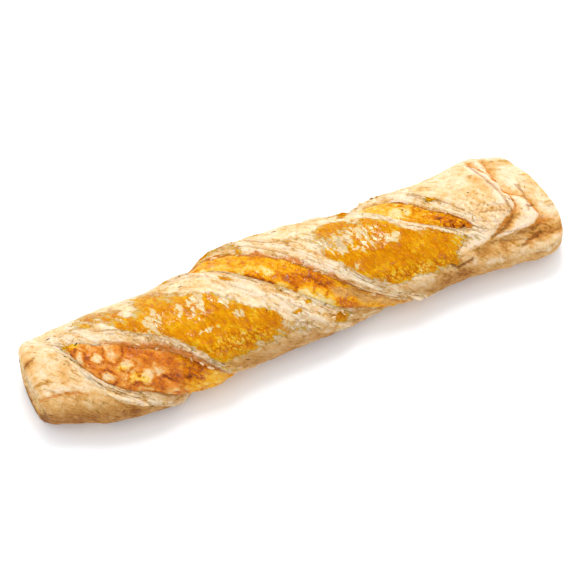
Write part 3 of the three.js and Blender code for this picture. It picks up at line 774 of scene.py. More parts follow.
class Graph:
    def __init__(self, tree):
        self.tree = tree

    def node(self, kind, settings=None, inputs=None, output=0):
        made = self.tree.nodes.new(kind)
        for name, value in (settings or {}).items():
            if name == "stops":
                self.setStops(made.color_ramp.elements, value)
            else:
                setattr(made, name, value)
        self.feed(made, inputs or {})
        return Wire(self, made.outputs[output])

    # Values and wires for a node's sockets
    def feed(self, made, inputs):
        for key, value in inputs.items():
            socket = made.inputs[key]
            if isinstance(value, Wire):
                self.tree.links.new(value.socket, socket)
            elif socket.type == "VECTOR" and isinstance(value, (int, float)):
                socket.default_value = (value,) * 3
            else:
                socket.default_value = value

    def setStops(self, elements, stops):
        for position, _ in stops[1:-1]:
            elements.new(position)
        for element, (position, shade) in zip(elements, stops):
            element.position = position
            element.color = shade

    def attribute(self, name, output="Fac"):
        return self.node("ShaderNodeAttribute", {"attribute_name": name}, {}, output)

    # A value that the points of a mesh or curve carry, in Geometry Nodes
    def stored(self, name, kind="FLOAT_VECTOR"):
        return self.node("GeometryNodeInputNamedAttribute", {"data_type": kind}, {"Name": name})

    def attributes(self, *names):
        return [self.attribute(name) for name in names]

    def noise(self, where, scale, detail=3.0, roughness=0.55, stretch=None, distortion=0.0):
        if stretch is not None:
            where = where * stretch
        return self.node("ShaderNodeTexNoise", {}, {"Vector": where, "Scale": scale, "Detail": detail,
                                                    "Roughness": roughness, "Distortion": distortion})

    # Each place pushed about by soft noise
    def warped(self, where, scale, reach):
        given = {"Vector": where, "Scale": scale, "Detail": 3.0}
        push = self.node("ShaderNodeTexNoise", {}, given, "Color")
        return where + (push - 0.5) * reach

    # Cells: a random number for each, and how far a place lies from the edge of its own
    def cells(self, where, scale, stretch=(1.0, 1.0, 1.0)):
        given = {"Vector": where * stretch, "Scale": scale}
        own = self.node("ShaderNodeTexVoronoi", {"feature": "F1"}, given, "Color")
        own = self.node("ShaderNodeSeparateColor", {}, {0: own})
        return own, self.node("ShaderNodeTexVoronoi", {"feature": "DISTANCE_TO_EDGE"}, given, "Distance")

    def ramp(self, value, low, high):
        return self.node("ShaderNodeMapRange", {"interpolation_type": "SMOOTHSTEP"},
                         {0: value, 1: low, 2: high, 3: 0.0, 4: 1.0})

    def mix(self, share, first, second):
        return self.node("ShaderNodeMix", {"data_type": "RGBA"}, {0: share, 6: first, 7: second}, 2)

    # A colour from a list of stops
    def ramped(self, value, stops):
        return self.node("ShaderNodeValToRGB", {"stops": stops}, {0: value})


def newMaterial(name):
    material = bpy.data.materials.new(name)
    material.use_nodes = True
    return material, Graph(material.node_tree), material.node_tree.nodes["Principled BSDF"]


def colour(red, green, blue):
    parts = [part / 255 for part in (red, green, blue)]
    parts = [part / 12.92 if part <= 0.04045 else ((part + 0.055) / 1.055) ** 2.4 for part in parts]
    return tuple(parts) + (1.0,)


pastryLook = {
    # Bare dough from raw to burnt, and the egg glaze from thin to thick
    "dough": [(0.0, colour(238, 217, 188)), (0.2, colour(232, 202, 158)), (0.4, colour(222, 176, 112)),
              (0.6, colour(204, 148, 76)), (0.8, colour(166, 100, 38)), (1.0, colour(92, 48, 20))],
    "glaze": [(0.0, colour(236, 210, 158)), (0.16, colour(235, 194, 84)), (0.28, colour(236, 182, 24)),
              (0.42, colour(230, 156, 0)),
              (0.62, colour(216, 132, 0)), (0.82, colour(202, 112, 0)), (1.0, colour(180, 92, 0))],
    # Browned dough painted with the shade under the bands and along the fold edges
    "groove": colour(206, 118, 24),
    # Browned cracks and creases, painted with their shade
    "crack": colour(160, 96, 40),
    "butter": (1.0, 0.9, 0.68),
    # Painted shade on the near side
    "shade": (0.3, 0.32, 0.3),  # what the near side loses of red, green and blue
    "sheen": colour(255, 214, 130),
    "softness": 0.4,  # share of the light that passes under the crust
    "roughness": 0.6,
    "glazeRoughness": 0.34,
}


# Baked dough with its egg glaze, from the values that each place carries
def pastryMaterial(name, softness, shine):
    look = pastryLook
    material, graph, shader = newMaterial(name)
    where = graph.node("ShaderNodeTexCoord", {}, {}, "Object") * 1000.0
    laid = graph.attribute("laid", "Vector")
    glaze, deep, worn, lace = graph.attributes("glaze", "deep", "worn", "lace")
    layered, groove, raised, toast = graph.attributes("layered", "groove", "raised", "toast")
    rough, side, rim, crack = graph.attributes("rough", "side", "rim", "crack")
    streaks = graph.noise(laid, 0.42, 5, 0.68, (0.34, 1.0, 1.0), 1.0)
    hairs = graph.noise(laid, 1.3, 4, 0.62, (0.2, 1.0, 1.0), 1.4)
    mottle = graph.noise(where, 0.11, 5, 0.65)
    patchy = graph.noise(where, 0.42, 4, 0.62, None, 0.8)
    fine = graph.noise(where, 1.0, 3, 0.6)
    buttery = graph.noise(laid, 0.2, 4, 0.6, (0.5, 1.0, 1.0), 1.2)
    wrinkled = graph.noise(graph.warped(laid, 0.25, 3.0), 0.55, 3, 0.55, (1.0, 0.4, 0.4))
    # Flakes lie along the strip, and the wrinkles of the glaze run across it
    flake, flakeEdge = graph.cells(graph.warped(laid, 0.22, 7.0), 0.5, (0.3, 1.0, 1.0))
    chip, _ = graph.cells(graph.warped(laid, 0.5, 3.0), 0.95, (0.5, 1.0, 1.0))
    blister, blisterEdge = graph.cells(graph.warped(laid, 0.3, 4.5), 0.3, (1.4, 0.62, 0.62))
    pimple, pimpleEdge = graph.cells(graph.warped(laid, 0.8, 2.2), 0.85, (1.1, 0.9, 0.9))
    # How far the bare dough is baked, darkened by painted shade on the near side and in the hollows, and
    # lightened by painted light on the ridges
    lines = graph.ramp(hairs, 0.54, 0.68) * (0.04 + layered * 0.07)
    flaky = (flake - 0.5) * 0.16 + (chip - 0.5) * 0.1
    baked = 0.2 - layered * 0.06 + (mottle - 0.5) * 0.9 + (streaks - 0.5) * 0.55
    baked = baked + (patchy - 0.5) * 0.55 + (fine - 0.5) * 0.2 + lines
    baked = baked + flaky * (0.5 + layered * 0.5) + graph.ramp(flakeEdge, 0.12, 0.0) * 0.06 * layered
    baked = baked + side * 0.3 + graph.ramp(raised, 0.05, -0.8) * 0.22 + toast * 0.42
    baked = baked - graph.ramp(raised, 0.05, 0.7) * 0.2 + graph.ramp(rim, 0.72, 1.0) * 0.12
    dough = graph.ramped(baked, look["dough"])
    butter = graph.ramp(buttery + (patchy - 0.5) * 0.4 + (streaks - 0.5) * 0.4, 0.5, 0.72)
    dough = graph.mix(butter * 0.36, dough, dough * look["butter"])
    # How thick the egg glaze lies, thin and pale over the blisters, with pale flecks in the worn patches that
    # are partly painted highlights
    thick = 0.42 + (mottle - 0.5) * 0.8 + (patchy - 0.5) * 0.65 + (fine - 0.5) * 0.1 + deep * 0.05
    thick = thick - rough * 0.06 + (blister - 0.5) * 0.12 + (pimple - 0.5) * 0.06 + (wrinkled - 0.5) * 0.65
    seam = graph.ramp(blisterEdge, 0.16, 0.03) * 0.36 + graph.ramp(pimpleEdge, 0.14, 0.02) * 0.14
    flecks = (worn - 0.82) * 0.9 + (0.5 - blister) * 0.7 + (blisterEdge - 0.14) * 2.0 + (fine - 0.5) * 0.4
    flecks = flecks + (patchy - 0.5) * 1.3 + (wrinkled - 0.5) * 0.7 + rough * 0.1 + (pimpleEdge - 0.14) * 0.6
    creamAndHighlight = graph.ramp(flecks, -0.12, 0.14)
    thick = thick - creamAndHighlight * (worn * 0.62 + 0.08) + seam * 0.2
    curly = graph.ramp((fine - 0.5) * 1.6 + (pimple - 0.5) * 0.6 - seam, -0.1, -0.35)
    thick = thick + (curly * 0.5 - 0.2) * lace + side * 0.06
    cover = glaze + (patchy - 0.5) * 1.1 + (streaks - 0.5) * 1.0 + (fine - 0.5) * 0.5
    cover = cover + (chip - 0.5) * 0.25 + (flake - 0.5) * 0.25
    thick = thick - graph.ramp(cover, 0.8, 0.3) * 0.26
    egg = graph.ramped(thick, look["glaze"])
    cover = graph.ramp(cover, 0.18, 0.58)
    surface = graph.mix(cover, dough, egg)
    # Browned grooves and creases over both, painted with their shade, and painted shade on the near side
    browned = graph.ramp(groove + (fine - 0.5) * 0.4 + (patchy - 0.5) * 0.6, 0.2, 0.8)
    surface = graph.mix(browned * 0.86, surface, look["groove"])
    crackShaded = graph.ramp(crack * (0.5 + patchy) + (fine - 0.5) * 0.2, 0.1, 0.8)
    surface = graph.mix(crackShaded * 0.75, surface, look["crack"])
    bubbled = graph.ramp(blisterEdge, 0.0, 0.3) * 0.45 + graph.ramp(pimpleEdge, 0.0, 0.25) * 0.3
    shelves = flake * 0.3 + chip * 0.16 + graph.ramp(flakeEdge, 0.0, 0.2) * 0.15
    height = hairs * (0.1 + layered * 0.2) + fine * 0.5 + patchy * (0.9 + cover * 0.6) + bubbled * cover
    height = height + wrinkled * (0.4 + cover * 0.9) + shelves * (0.35 + layered * 0.65)
    gloss = look["roughness"] + (look["glazeRoughness"] - look["roughness"]) * cover
    graph.feed(shader, {
        "Base Color": surface * (1.0 - side * look["shade"]),
        "Roughness": gloss + (fine - 0.5) * 0.3,
        "Coat Weight": graph.ramp((patchy - 0.5) + (fine - 0.5) * 0.6 + worn * 0.14, 0.1, 0.18) * cover,
        "Coat Roughness": 0.08,
        "Specular IOR Level": shine,
        "Specular Tint": look["sheen"],
        "Subsurface Weight": softness,
        "Subsurface Radius": (1.0, 0.5, 0.2),
        "Subsurface Scale": 0.0025,
        "Normal": graph.node("ShaderNodeBump", {}, {"Height": height, "Strength": 0.9, "Distance": 0.0012}),
    })
    return material


cheese = {
    "blur": {"yellow": 0.5, "pale": 0.5, "dull": 0.7, "browned": 0.6},
    "from": -106.0, "to": 97.0, "stations": 336, "faceLines": 44,
    "beyond": 1.6,  # how far a pad reaches in under the layers beside it
    "tuck": 0.45, "fillShare": 0.62, "wall": 3.2, "web": 1.3, "endDepth": 5.5, "leftFade": 9, "rightFade": 22,
    "lowest": 1.3,
    "paintedAbove": 8,
    "spillRise": 0.3,
    # Bubbles in the picture's plane: along, down, radius, height, and how open its middle is
    "bubbles": [(-77.5, -2.6, 4.6, 1.7, 0.8), (-91.6, -5.4, 3.2, 1.1, 0.3), (-85.2, -2.4, 2.8, 1.0, 0.3),
                (-83.6, 7, 3.5, 1.2, 0.25), (-97.4, -6.6, 2.0, 0.7, 0.2), (-74, 4.6, 3.2, 0.8, 0.1),
                (-68, 11.8, 3.6, 0.9, 0.1), (-73, 10.2, 2.4, 0.8, 0.2), (-62, 19, 5, 0.8, 0.0),
                (-52, 21, 4, 0.7, 0.0), (1.2, 9.4, 1.8, 0.8, 0.3), (6.4, 7.8, 2.6, 0.9, 0.4),
                (3, 3.2, 2.6, 0.8, 0.1), (9.5, 12, 2.4, 0.8, 0.2), (-60, 18.5, 4.4, 0.8, 0.1),
                (-29, -15, 3, 0.6, 0.1), (-12, -10, 2.6, 0.6, 0.1), (12, 5, 2.6, 0.7, 0.2),
                (58, -13.5, 3, 0.7, 0.2), (72, -4, 2.2, 0.8, 0.2), (76, 0, 2.0, 0.8, 0.3),
                (-17, -14.5, 2.5, 0.5, 0)],
    "yellow": [(-95, -11.4, 5, 2.4, 10), (-75.5, 5.2, 3, 1.6, 0), (-71, 11.4, 5, 2, 20),
               (8.4, 6.8, 9, 3.6, 38), (-21, -16.5, 10, 3.2, 15), (47, -17, 11, 3.4, 12),
               (-44, 21.5, 6, 3, 0), (-30, -18, 8, 2.4, 10), (12, 12, 4, 2, 30)],
    "dull": [(20, 8.5, 5, 2, 40), (40, 18, 13, 4, 22), (26, 12, 6, 2.4, 40), (50, 21, 8, 3, 10)],
    # Pale bubble skin, and painted highlights on the gold near the top
    "pale": [(-32, -19.4, 3, 1.4, 0), (-26, -12.6, 3, 1, 25), (-2, -3.6, 3, 1.4, 40),
             (-10, -6.6, 3, 1.1, 38), (5, 3.6, 3.4, 2.2, 40), (-91, -5.4, 1.6, 2.2, 0),
             (-84.8, -2.4, 1.6, 1.4, 0), (-83, 6.6, 2.0, 1.6, 0), (-77.6, -2.8, 1.0, 1.1, 0),
             (-74.6, 4.2, 2.6, 1.1, 25), (-65, 11.3, 4.4, 2.6, 15), (3, 3.2, 2.0, 1.4, 0),
             (9.6, 7.6, 3.6, 2.4, 36), (13.4, 10.8, 3, 1.8, 36), (55, -12.6, 5, 2.2, 15),
             (-17.7, -14, 2.2, 1.2, 20), (-6.2, -11, 3.2, 1, 45), (15, 13, 2, 1.2, 30),
             (1, 10, 1.4, 1, 0)],
    # Toasted patches, and painted shade on the lower, shaded part of the filling
    "browned": [(-62, 7, 12, 3, 38), (-49, 14, 7, 3, 30), (-70, -1, 7, 2, 36), (-93.5, -8, 3, 1.4, 60),
                (-88, -3, 1.2, 3.4, -20), (-83.4, 3.6, 4, 1.2, 30), (-83, 9.6, 3.6, 1.2, 10),
                (-80, -9.4, 6, 1.6, 25), (-66, 3, 11, 2.6, 38), (-73.6, 13.6, 3, 1.2, 20),
                (-52, 17, 9, 3, 10), (-61, 17, 5, 3, 10), (-10, -8, 6, 2.4, 40), (11, -1, 9, 2.6, 40),
                (2, -4, 6, 3, 40), (73, -2.4, 6, 1.8, 38), (79, 1.5, 3, 1.2, 40), (20, 14, 6, 2.4, 35)],
}


def padFace(valley, x, buried, share, lift):
    reach = np.maximum(curve(x, valley["floor"]), 0) + cheese["beyond"]
    spill = curve(x, valley["spill"])
    strip = curve(x, valley["centre"]) + share * (reach + spill * (share < 0))
    lift = lift + cheese["spillRise"] * spill * smooth(-share, 0.1, 0.7)
    sunk = curve(x, valley["depth"]) * cheese["fillShare"] + buried
    angle = angleAt(x, strip)
    plain = place(x, angle)
    drop, _ = foldSteps(plain[..., 0], plain[..., 1], angle)
    level = lift * (1 - share ** 6) - sunk - cheese["tuck"] * share ** 4 - np.maximum(drop, 0)
    return place(x, angle, level), strip


def padBack(valley, x, buried, share, thickness):
    strip = curve(x, valley["centre"]) + share * (np.maximum(curve(x, valley["floor"]), 0) + cheese["beyond"])
    return place(x, angleAt(x, strip), -curve(x, valley["depth"]) - thickness - buried)


def buildCheese(shift):
    start, end = cheese["from"], cheese["to"]
    x = np.linspace(start, end, cheese["stations"])
    buried = cheese["endDepth"] * np.maximum(1 - smooth(x, start, start + cheese["leftFade"]),
                                             smooth(x, end - cheese["rightFade"], end))
    share = np.linspace(-1, 1, cheese["faceLines"])
    x2, share2 = np.meshgrid(x, share, indexing="ij")
    buried2 = np.repeat(buried[:, None], len(share), 1)
    parts, strips, lifts = [], [], []
    for valley in valleys:
        plain, strip = padFace(valley, x2, buried2, share2, 0)
        along, down = seenPlace(plain + shift)
        turned = np.cos(angleAt(x2, strip))
        laid = laidOut(x2, strip)
        dome, _ = domes(laid, 3.8, 3.2, 91, 0.62)
        lift = 0.8 * grain(laid, 6, 4.5, 95) + 0.7 * dome + 0.25 * grain(laid, 1.6, 1.4, 97, 2)
        rims = np.zeros_like(lift)
        along, down = along + 2.6 * grain(laid, 3.4, 3.4, 101), down + 2.6 * grain(laid, 3.4, 3.4, 103)
        for atAlong, atDown, radius, height, hollow in cheese["bubbles"]:
            away = np.hypot(along - atAlong, down - atDown) / radius
            domed = np.sqrt(np.clip(1 - away ** 2, 0, 1)) - hollow * np.clip(1 - (away / 0.45) ** 2, 0, 1)
            lift = lift + height * domed * (turned > -0.2)
            rims = np.maximum(rims, bump(away, 1.0, 0.16) * (turned > -0.2))
        face, _ = padFace(valley, x2, buried2, share2, lift)
        before = padBack(valley, x, buried, -0.6, cheese["wall"] * 0.8)
        after = padBack(valley, x, buried, 0.6, cheese["wall"] * 0.8)
        root = padBack(valley, x, buried, 0, cheese["wall"])
        neck = np.stack([x, curve(x, form["sideways"]), np.full_like(x, form["axisHeight"])], -1)
        inward = root - neck
        inward[:, 0] = 0
        inward /= np.linalg.norm(inward, axis=1)[:, None]
        side = np.stack([np.zeros_like(x), -inward[:, 2], inward[:, 1]], -1) * cheese["web"]
        flip = np.sum(side * (after - before), 1) < 0
        side[flip] *= -1
        parts.append({"face": np.concatenate([before[:, None], face, after[:, None]], 1),
                      "before": root - side, "after": root + side})
        pad = np.pad(np.abs(share2), ((0, 0), (1, 1)), constant_values=1)
        strips.append(np.pad(strip, ((0, 0), (1, 1)), mode="edge"))
        lifts.append((np.pad(lift, ((0, 0), (1, 1))), pad, np.pad(rims, ((0, 0), (1, 1)))))
    rows = [parts[0]["face"], parts[0]["after"][:, None], parts[1]["before"][:, None],
            parts[1]["face"], parts[1]["after"][:, None], parts[0]["before"][:, None]]
    grid = np.concatenate(rows, 1)
    grid[..., 2] = np.maximum(grid[..., 2], cheese["lowest"])
    grid = grid + shift

    def laidRow(values, fill):
        blank = np.full((len(x), 2), fill)
        return np.concatenate([values[0], blank, values[1], blank], 1)

    strip = laidRow(strips, 0.0)
    lift = laidRow([part[0] for part in lifts], 0.0)
    edge = laidRow([part[1] for part in lifts], 1.0)
    rims = laidRow([part[2] for part in lifts], 0.0)
    along, down = seenPlace(grid)
    inPlane = (along / 4, down / 4, np.zeros_like(along))
    along, down = along + 1.6 * clouds(inPlane, 211), down + 1.6 * clouds(inPlane, 213)
    upper = grid[..., 2] > cheese["paintedAbove"]
    values = {
        "yellow": painted(cheese, "yellow", along, down) * upper,
        "pale": painted(cheese, "pale", along, down) * upper,
        "dull": painted(cheese, "dull", along, down) * upper,
        "browned": painted(cheese, "browned", along, down) * upper + 1.1 * rims,
        "edge": smooth(edge, 0.72, 0.98),
        "lift": np.clip(0.5 + 0.35 * lift, 0, 1),
        "blush": (1 - smooth(x[:, None], -66, -52)) * upper,
    }
    rings, lines = grid.shape[:2]
    flat = {key: value.reshape(-1) for key, value in values.items()}
    x3 = np.repeat(x[:, None], lines, 1)
    flat["laid"] = np.stack(laidOut(x3, strip), -1).reshape(-1, 3)
    ends = [list(range(lines)), list(range((rings - 1) * lines, rings * lines))[::-1]]
    return {"points": grid.reshape(-1, 3), "faces": ringFaces(rings, lines).tolist() + ends, "values": flat,
            "grid": grid}


cheeseLook = {
    # From pale bubble skin to scorched, where it lies open and where it shines through the glaze
    "open": [(0.0, colour(236, 204, 156)), (0.22, colour(230, 172, 96)), (0.42, colour(222, 138, 40)),
             (0.62, colour(208, 116, 30)), (0.8, colour(184, 92, 26)), (1.0, colour(140, 66, 24))],
    "glazed": [(0.0, colour(238, 212, 150)), (0.14, colour(236, 194, 84)), (0.28, colour(235, 172, 16)),
               (0.45, colour(224, 146, 0)), (0.64, colour(200, 106, 0)), (0.82, colour(156, 72, 4)),
               (1.0, colour(92, 40, 4))],
    "blush": colour(222, 150, 100),
    "dull": colour(204, 152, 88),
    "sheen": colour(255, 206, 120),
    "roughness": 0.34,
}


def cheeseMaterial():
    look = cheeseLook
    material, graph, shader = newMaterial("meltedCheese")
    where = graph.node("ShaderNodeTexCoord", {}, {}, "Object") * 1000.0
    yellow, pale, dull, browned = graph.attributes("yellow", "pale", "dull", "browned")
    edge, lift, blush = graph.attributes("edge", "lift", "blush")
    mottle = graph.noise(where, 0.3, 5, 0.7, None, 0.9)
    patchy = graph.noise(where, 0.55, 4, 0.7, None, 1.4)
    fine = graph.noise(where, 1.4, 4, 0.65)
    blob, blobEdge = graph.cells(graph.warped(where, 0.4, 4.0), 0.42)
    tone = 0.36 + (mottle - 0.5) * 1.0 + (patchy - 0.5) * 0.7 + (fine - 0.5) * 0.12 - (lift - 0.5) * 0.36
    tone = tone + (blob - 0.5) * 0.16 + graph.ramp(blobEdge, 0.1, 0.0) * 0.1
    tone = tone + browned * 0.3 - yellow * 0.14 - pale * (0.16 + patchy * 0.4)
    tone = tone + graph.ramp(edge, 0.3, 1.0) * 0.1
    opened = graph.ramp(blush - yellow * 0.7 + (mottle - 0.5) * 0.6, 0.3, 0.8)
    base = graph.mix(opened, graph.ramped(tone, look["glazed"]), graph.ramped(tone, look["open"]))
    rosy = graph.ramp(opened + (patchy - 0.5) * 1.6 - pale * 0.4 - browned * 0.2, 1.0, 1.4)
    base = graph.mix(rosy * 0.4, base, look["blush"])
    dulled = graph.ramp(dull + (patchy - 0.5) * 0.8, 0.2, 0.9) * 0.8
    height = fine * 0.5 + mottle * 0.8 + patchy * 0.9 + graph.ramp(blobEdge, 0.0, 0.25) * 0.35
    graph.feed(shader, {
        "Base Color": graph.mix(dulled, base, (1.35 - tone * 0.9) * look["dull"][:3]),
        "Roughness": look["roughness"] + (fine - 0.5) * 0.3,
        "Coat Weight": graph.ramp((patchy - 0.5) + (fine - 0.5) * 0.6, 0.03, 0.12) * 0.9,
        "Coat Roughness": 0.08,
        "Specular IOR Level": 0.3,
        "Specular Tint": look["sheen"],
        "Subsurface Weight": 0.4,
        "Subsurface Radius": (1.0, 0.45, 0.15),
        "Subsurface Scale": 0.002,
        "Normal": graph.node("ShaderNodeBump", {}, {"Height": height, "Strength": 0.85, "Distance": 0.001}),
    })
    return material


# Thin leaves of dough that stand off the layered bands: for each band its valley and side, from and to
# along the twist, how many, places across the band and half widths
leaves = {
    "step": 1.0,
    "thin": 0.26,  # thickness over width
    "ripple": 0.8,
    "bands": [
        {"valley": 0, "side": 1, "from": -98, "to": 86, "count": 34,
         "places": (0.5, 1.15), "half": (0.35, 1.0)},
        {"valley": 0, "side": -1, "from": -104, "to": 84, "count": 36,
         "places": (0.05, 1.2), "half": (0.35, 1.0)},
        {"valley": 1, "side": 1, "from": -92, "to": 96, "count": 46,
         "places": (0.1, 1.1), "half": (0.35, 1.1)},
        {"valley": 1, "side": -1, "from": -92, "to": 96, "count": 46,
         "places": (0.05, 1.2), "half": (0.35, 1.1)},
    ],
    "longest": 30.0,
    "shortest": 7.0,
    "fade": 8,  # length over which a leaf narrows to its tips
    "drift": 0.12,  # how far it may run across the band
    "tilts": (-10, 28),
    "heights": (7, 32.4),  # a leaf that would lie outside these is left out
    "paintedAbove": 16,
    "seed": 7,
}


def surfaceAt(x, strip, shift):
    angle = angleAt(x, strip)
    ground = relief(x, strip)
    plain = place(x, angle)
    drop, _ = foldSteps(plain[..., 0], plain[..., 1], angle)
    point = place(x, angle, ground["level"] - drop, ground["lean"])
    point[..., 2] = settled(point[..., 2])
    *_, normalY, normalZ = section(x, angle)
    outward = np.stack([np.zeros_like(normalY), normalY, normalZ], -1)
    return point + shift, outward, ground["groove"]


def leafGuides(shift):
    chance = np.random.default_rng(leaves["seed"])
    points, edges = [], []
    values = {key: [] for key in ("outward", "spread", "laid", "layered", "toast", "glaze", "groove")}
    count = 0
    for band in leaves["bands"]:
        valley = valleys[band["valley"]]
        for n in range(band["count"]):
            length = chance.uniform(leaves["shortest"], leaves["longest"])
            start = chance.uniform(band["from"], band["to"] - leaves["shortest"])
            stop = min(start + length, band["to"])
            x = np.arange(start, stop, leaves["step"])
            at = chance.uniform(*band["places"])
            drift = chance.uniform(-leaves["drift"], leaves["drift"])
            wave = chance.uniform(0, 100)
            placeAcross = at + drift * np.linspace(-1, 1, len(x)) + 0.06 * np.sin(x / 6.5 + wave)
            width = curve(x, valley["right"] if band["side"] > 0 else valley["left"])
            floor = np.maximum(curve(x, valley["floor"]), 0)
            strip = curve(x, valley["centre"]) + band["side"] * (floor + width * placeAcross)
            point, outward, groove = surfaceAt(x, strip, shift)
            half = chance.uniform(*band["half"])
            taper = np.minimum(1, np.minimum(x - start, stop - x) / leaves["fade"]) ** 0.7
            spread = half * np.maximum(taper, 0.12) * (1 + 0.25 * np.sin(x / 3.7 + wave))
            lift = 0.15 + 0.3 * np.sin(x / 9 + wave) ** 2
            point = point + outward * (lift * taper - 0.25)[:, None]
            lowest, highest = leaves["heights"]
            if point[:, 2].min() < lowest or point[:, 2].max() > highest:
                continue
            tangent = np.gradient(point, axis=0)
            tangent /= np.linalg.norm(tangent, axis=1)[:, None]
            across = np.cross(tangent, outward) * band["side"]
            tilt = math.radians(chance.uniform(*leaves["tilts"]))
            raised = outward * math.cos(tilt) + across * math.sin(tilt)
            points.append(point)
            edges += [(count + i, count + i + 1) for i in range(len(x) - 1)]
            count += len(x)
            values["outward"].append(raised)
            values["spread"].append(spread * mm)
            values["laid"].append(np.stack(laidOut(x, strip), -1) + chance.uniform(0, 40))
            values["layered"].append(np.ones(len(x)))
            values["groove"].append(groove * smooth(x, *pastry["grooveShadeFrom"]))
            high = point[:, 2] > leaves["paintedAbove"]
            toasted = 0.6 * painted(paint, "toasted", *seenPlace(point)) * high
            dripped = painted(paint, "drips", *seenPlace(point)) * high
            values["toast"].append(toasted + max(0.0, chance.uniform(-0.5, 0.2)))
            values["glaze"].append(np.maximum(dripped, max(0.0, chance.uniform(-0.6, 0.35))))
    values = {key: np.concatenate(value) for key, value in values.items()}
    return meshFrom("leafGuides", np.concatenate(points), edges, [], values)


# A tree with named inputs, and those inputs as wires
def newTree(name, inputs):
    tree = bpy.data.node_groups.new(name, "GeometryNodeTree")
    tree.interface.new_socket("Geometry", in_out="INPUT", socket_type="NodeSocketGeometry")
    for title, kind in inputs:
        tree.interface.new_socket(title, in_out="INPUT", socket_type=kind)
    tree.interface.new_socket("Geometry", in_out="OUTPUT", socket_type="NodeSocketGeometry")
    graph = Graph(tree)
    start = tree.nodes.new("NodeGroupInput")
    titles = ["Geometry"] + [title for title, _ in inputs]
    return graph, {title: Wire(graph, start.outputs[title]) for title in titles}


# The last steps of a tree: soft waves in the surface, smooth shading, a plain mesh and its material
def closeTree(graph, body, scale, detail, reach, material):
    given = {"Vector": graph.node("GeometryNodeInputPosition"), "Scale": scale, "Detail": detail}
    wave = graph.node("ShaderNodeTexNoise", {}, given, "Color")
    body = graph.node("GeometryNodeSetPosition", {}, {"Geometry": body, "Offset": (wave - 0.5) * reach})
    body = graph.node("GeometryNodeSetShadeSmooth", {}, {"Geometry": body, "Shade Smooth": True})
    body = graph.node("GeometryNodeRealizeInstances", {}, {"Geometry": body})
    body = graph.node("GeometryNodeSetMaterial", {}, {"Geometry": body, "Material": material})
    graph.feed(graph.tree.nodes.new("NodeGroupOutput"), {0: body})
    return graph.tree


def leafTree():
    graph, given = newTree("leavesAlongBands", [("thin", "NodeSocketFloat"), ("ripple", "NodeSocketFloat"),
                                                ("material", "NodeSocketMaterial")])
    path = graph.node("GeometryNodeMeshToCurve", {}, {"Mesh": given["Geometry"]})
    outward = graph.stored("outward")
    spread = graph.stored("spread", "FLOAT")
    path = graph.node("GeometryNodeSetCurveNormal", {"mode": "FREE"}, {"Curve": path, "Normal": outward})
    ring = graph.node("GeometryNodeCurvePrimitiveCircle", {}, {"Resolution": 10, "Radius": 1.0})
    flat = graph.node("ShaderNodeCombineXYZ", {}, {"X": 1.0, "Y": given["thin"], "Z": 1.0})
    ring = graph.node("GeometryNodeTransform", {}, {"Geometry": ring, "Scale": flat})
    aside = graph.node("ShaderNodeSeparateXYZ", {}, {0: graph.node("GeometryNodeInputPosition")})
    aside = graph.node("ShaderNodeMath", {"operation": "ABSOLUTE"}, {0: aside})
    ring = graph.node("GeometryNodeStoreNamedAttribute", {"data_type": "FLOAT"},
                      {"Geometry": ring, "Name": "rim", "Value": aside})
    body = graph.node("GeometryNodeCurveToMesh", {}, {"Curve": path, "Profile Curve": ring, "Scale": spread,
                                                      "Fill Caps": True})
    return closeTree(graph, body, 380.0, 3.0, given["ripple"], given["material"])


def grown(name, base, tree, settings):
    worker = placed(name + "Guide", base)
    modifier = worker.modifiers.new("grow", "NODES")
    modifier.node_group = tree
    for item in tree.interface.items_tree:
        if item.in_out == "INPUT" and item.name in settings:
            modifier[item.identifier] = settings[item.name]
    depsgraph = bpy.context.evaluated_depsgraph_get()
    mesh = bpy.data.meshes.new_from_object(worker.evaluated_get(depsgraph), preserve_all_data_layers=True,
                                           depsgraph=depsgraph)
    worker.modifiers.remove(modifier)
    bpy.data.objects.remove(worker)
    mesh.name = name
    return placed(name, mesh)


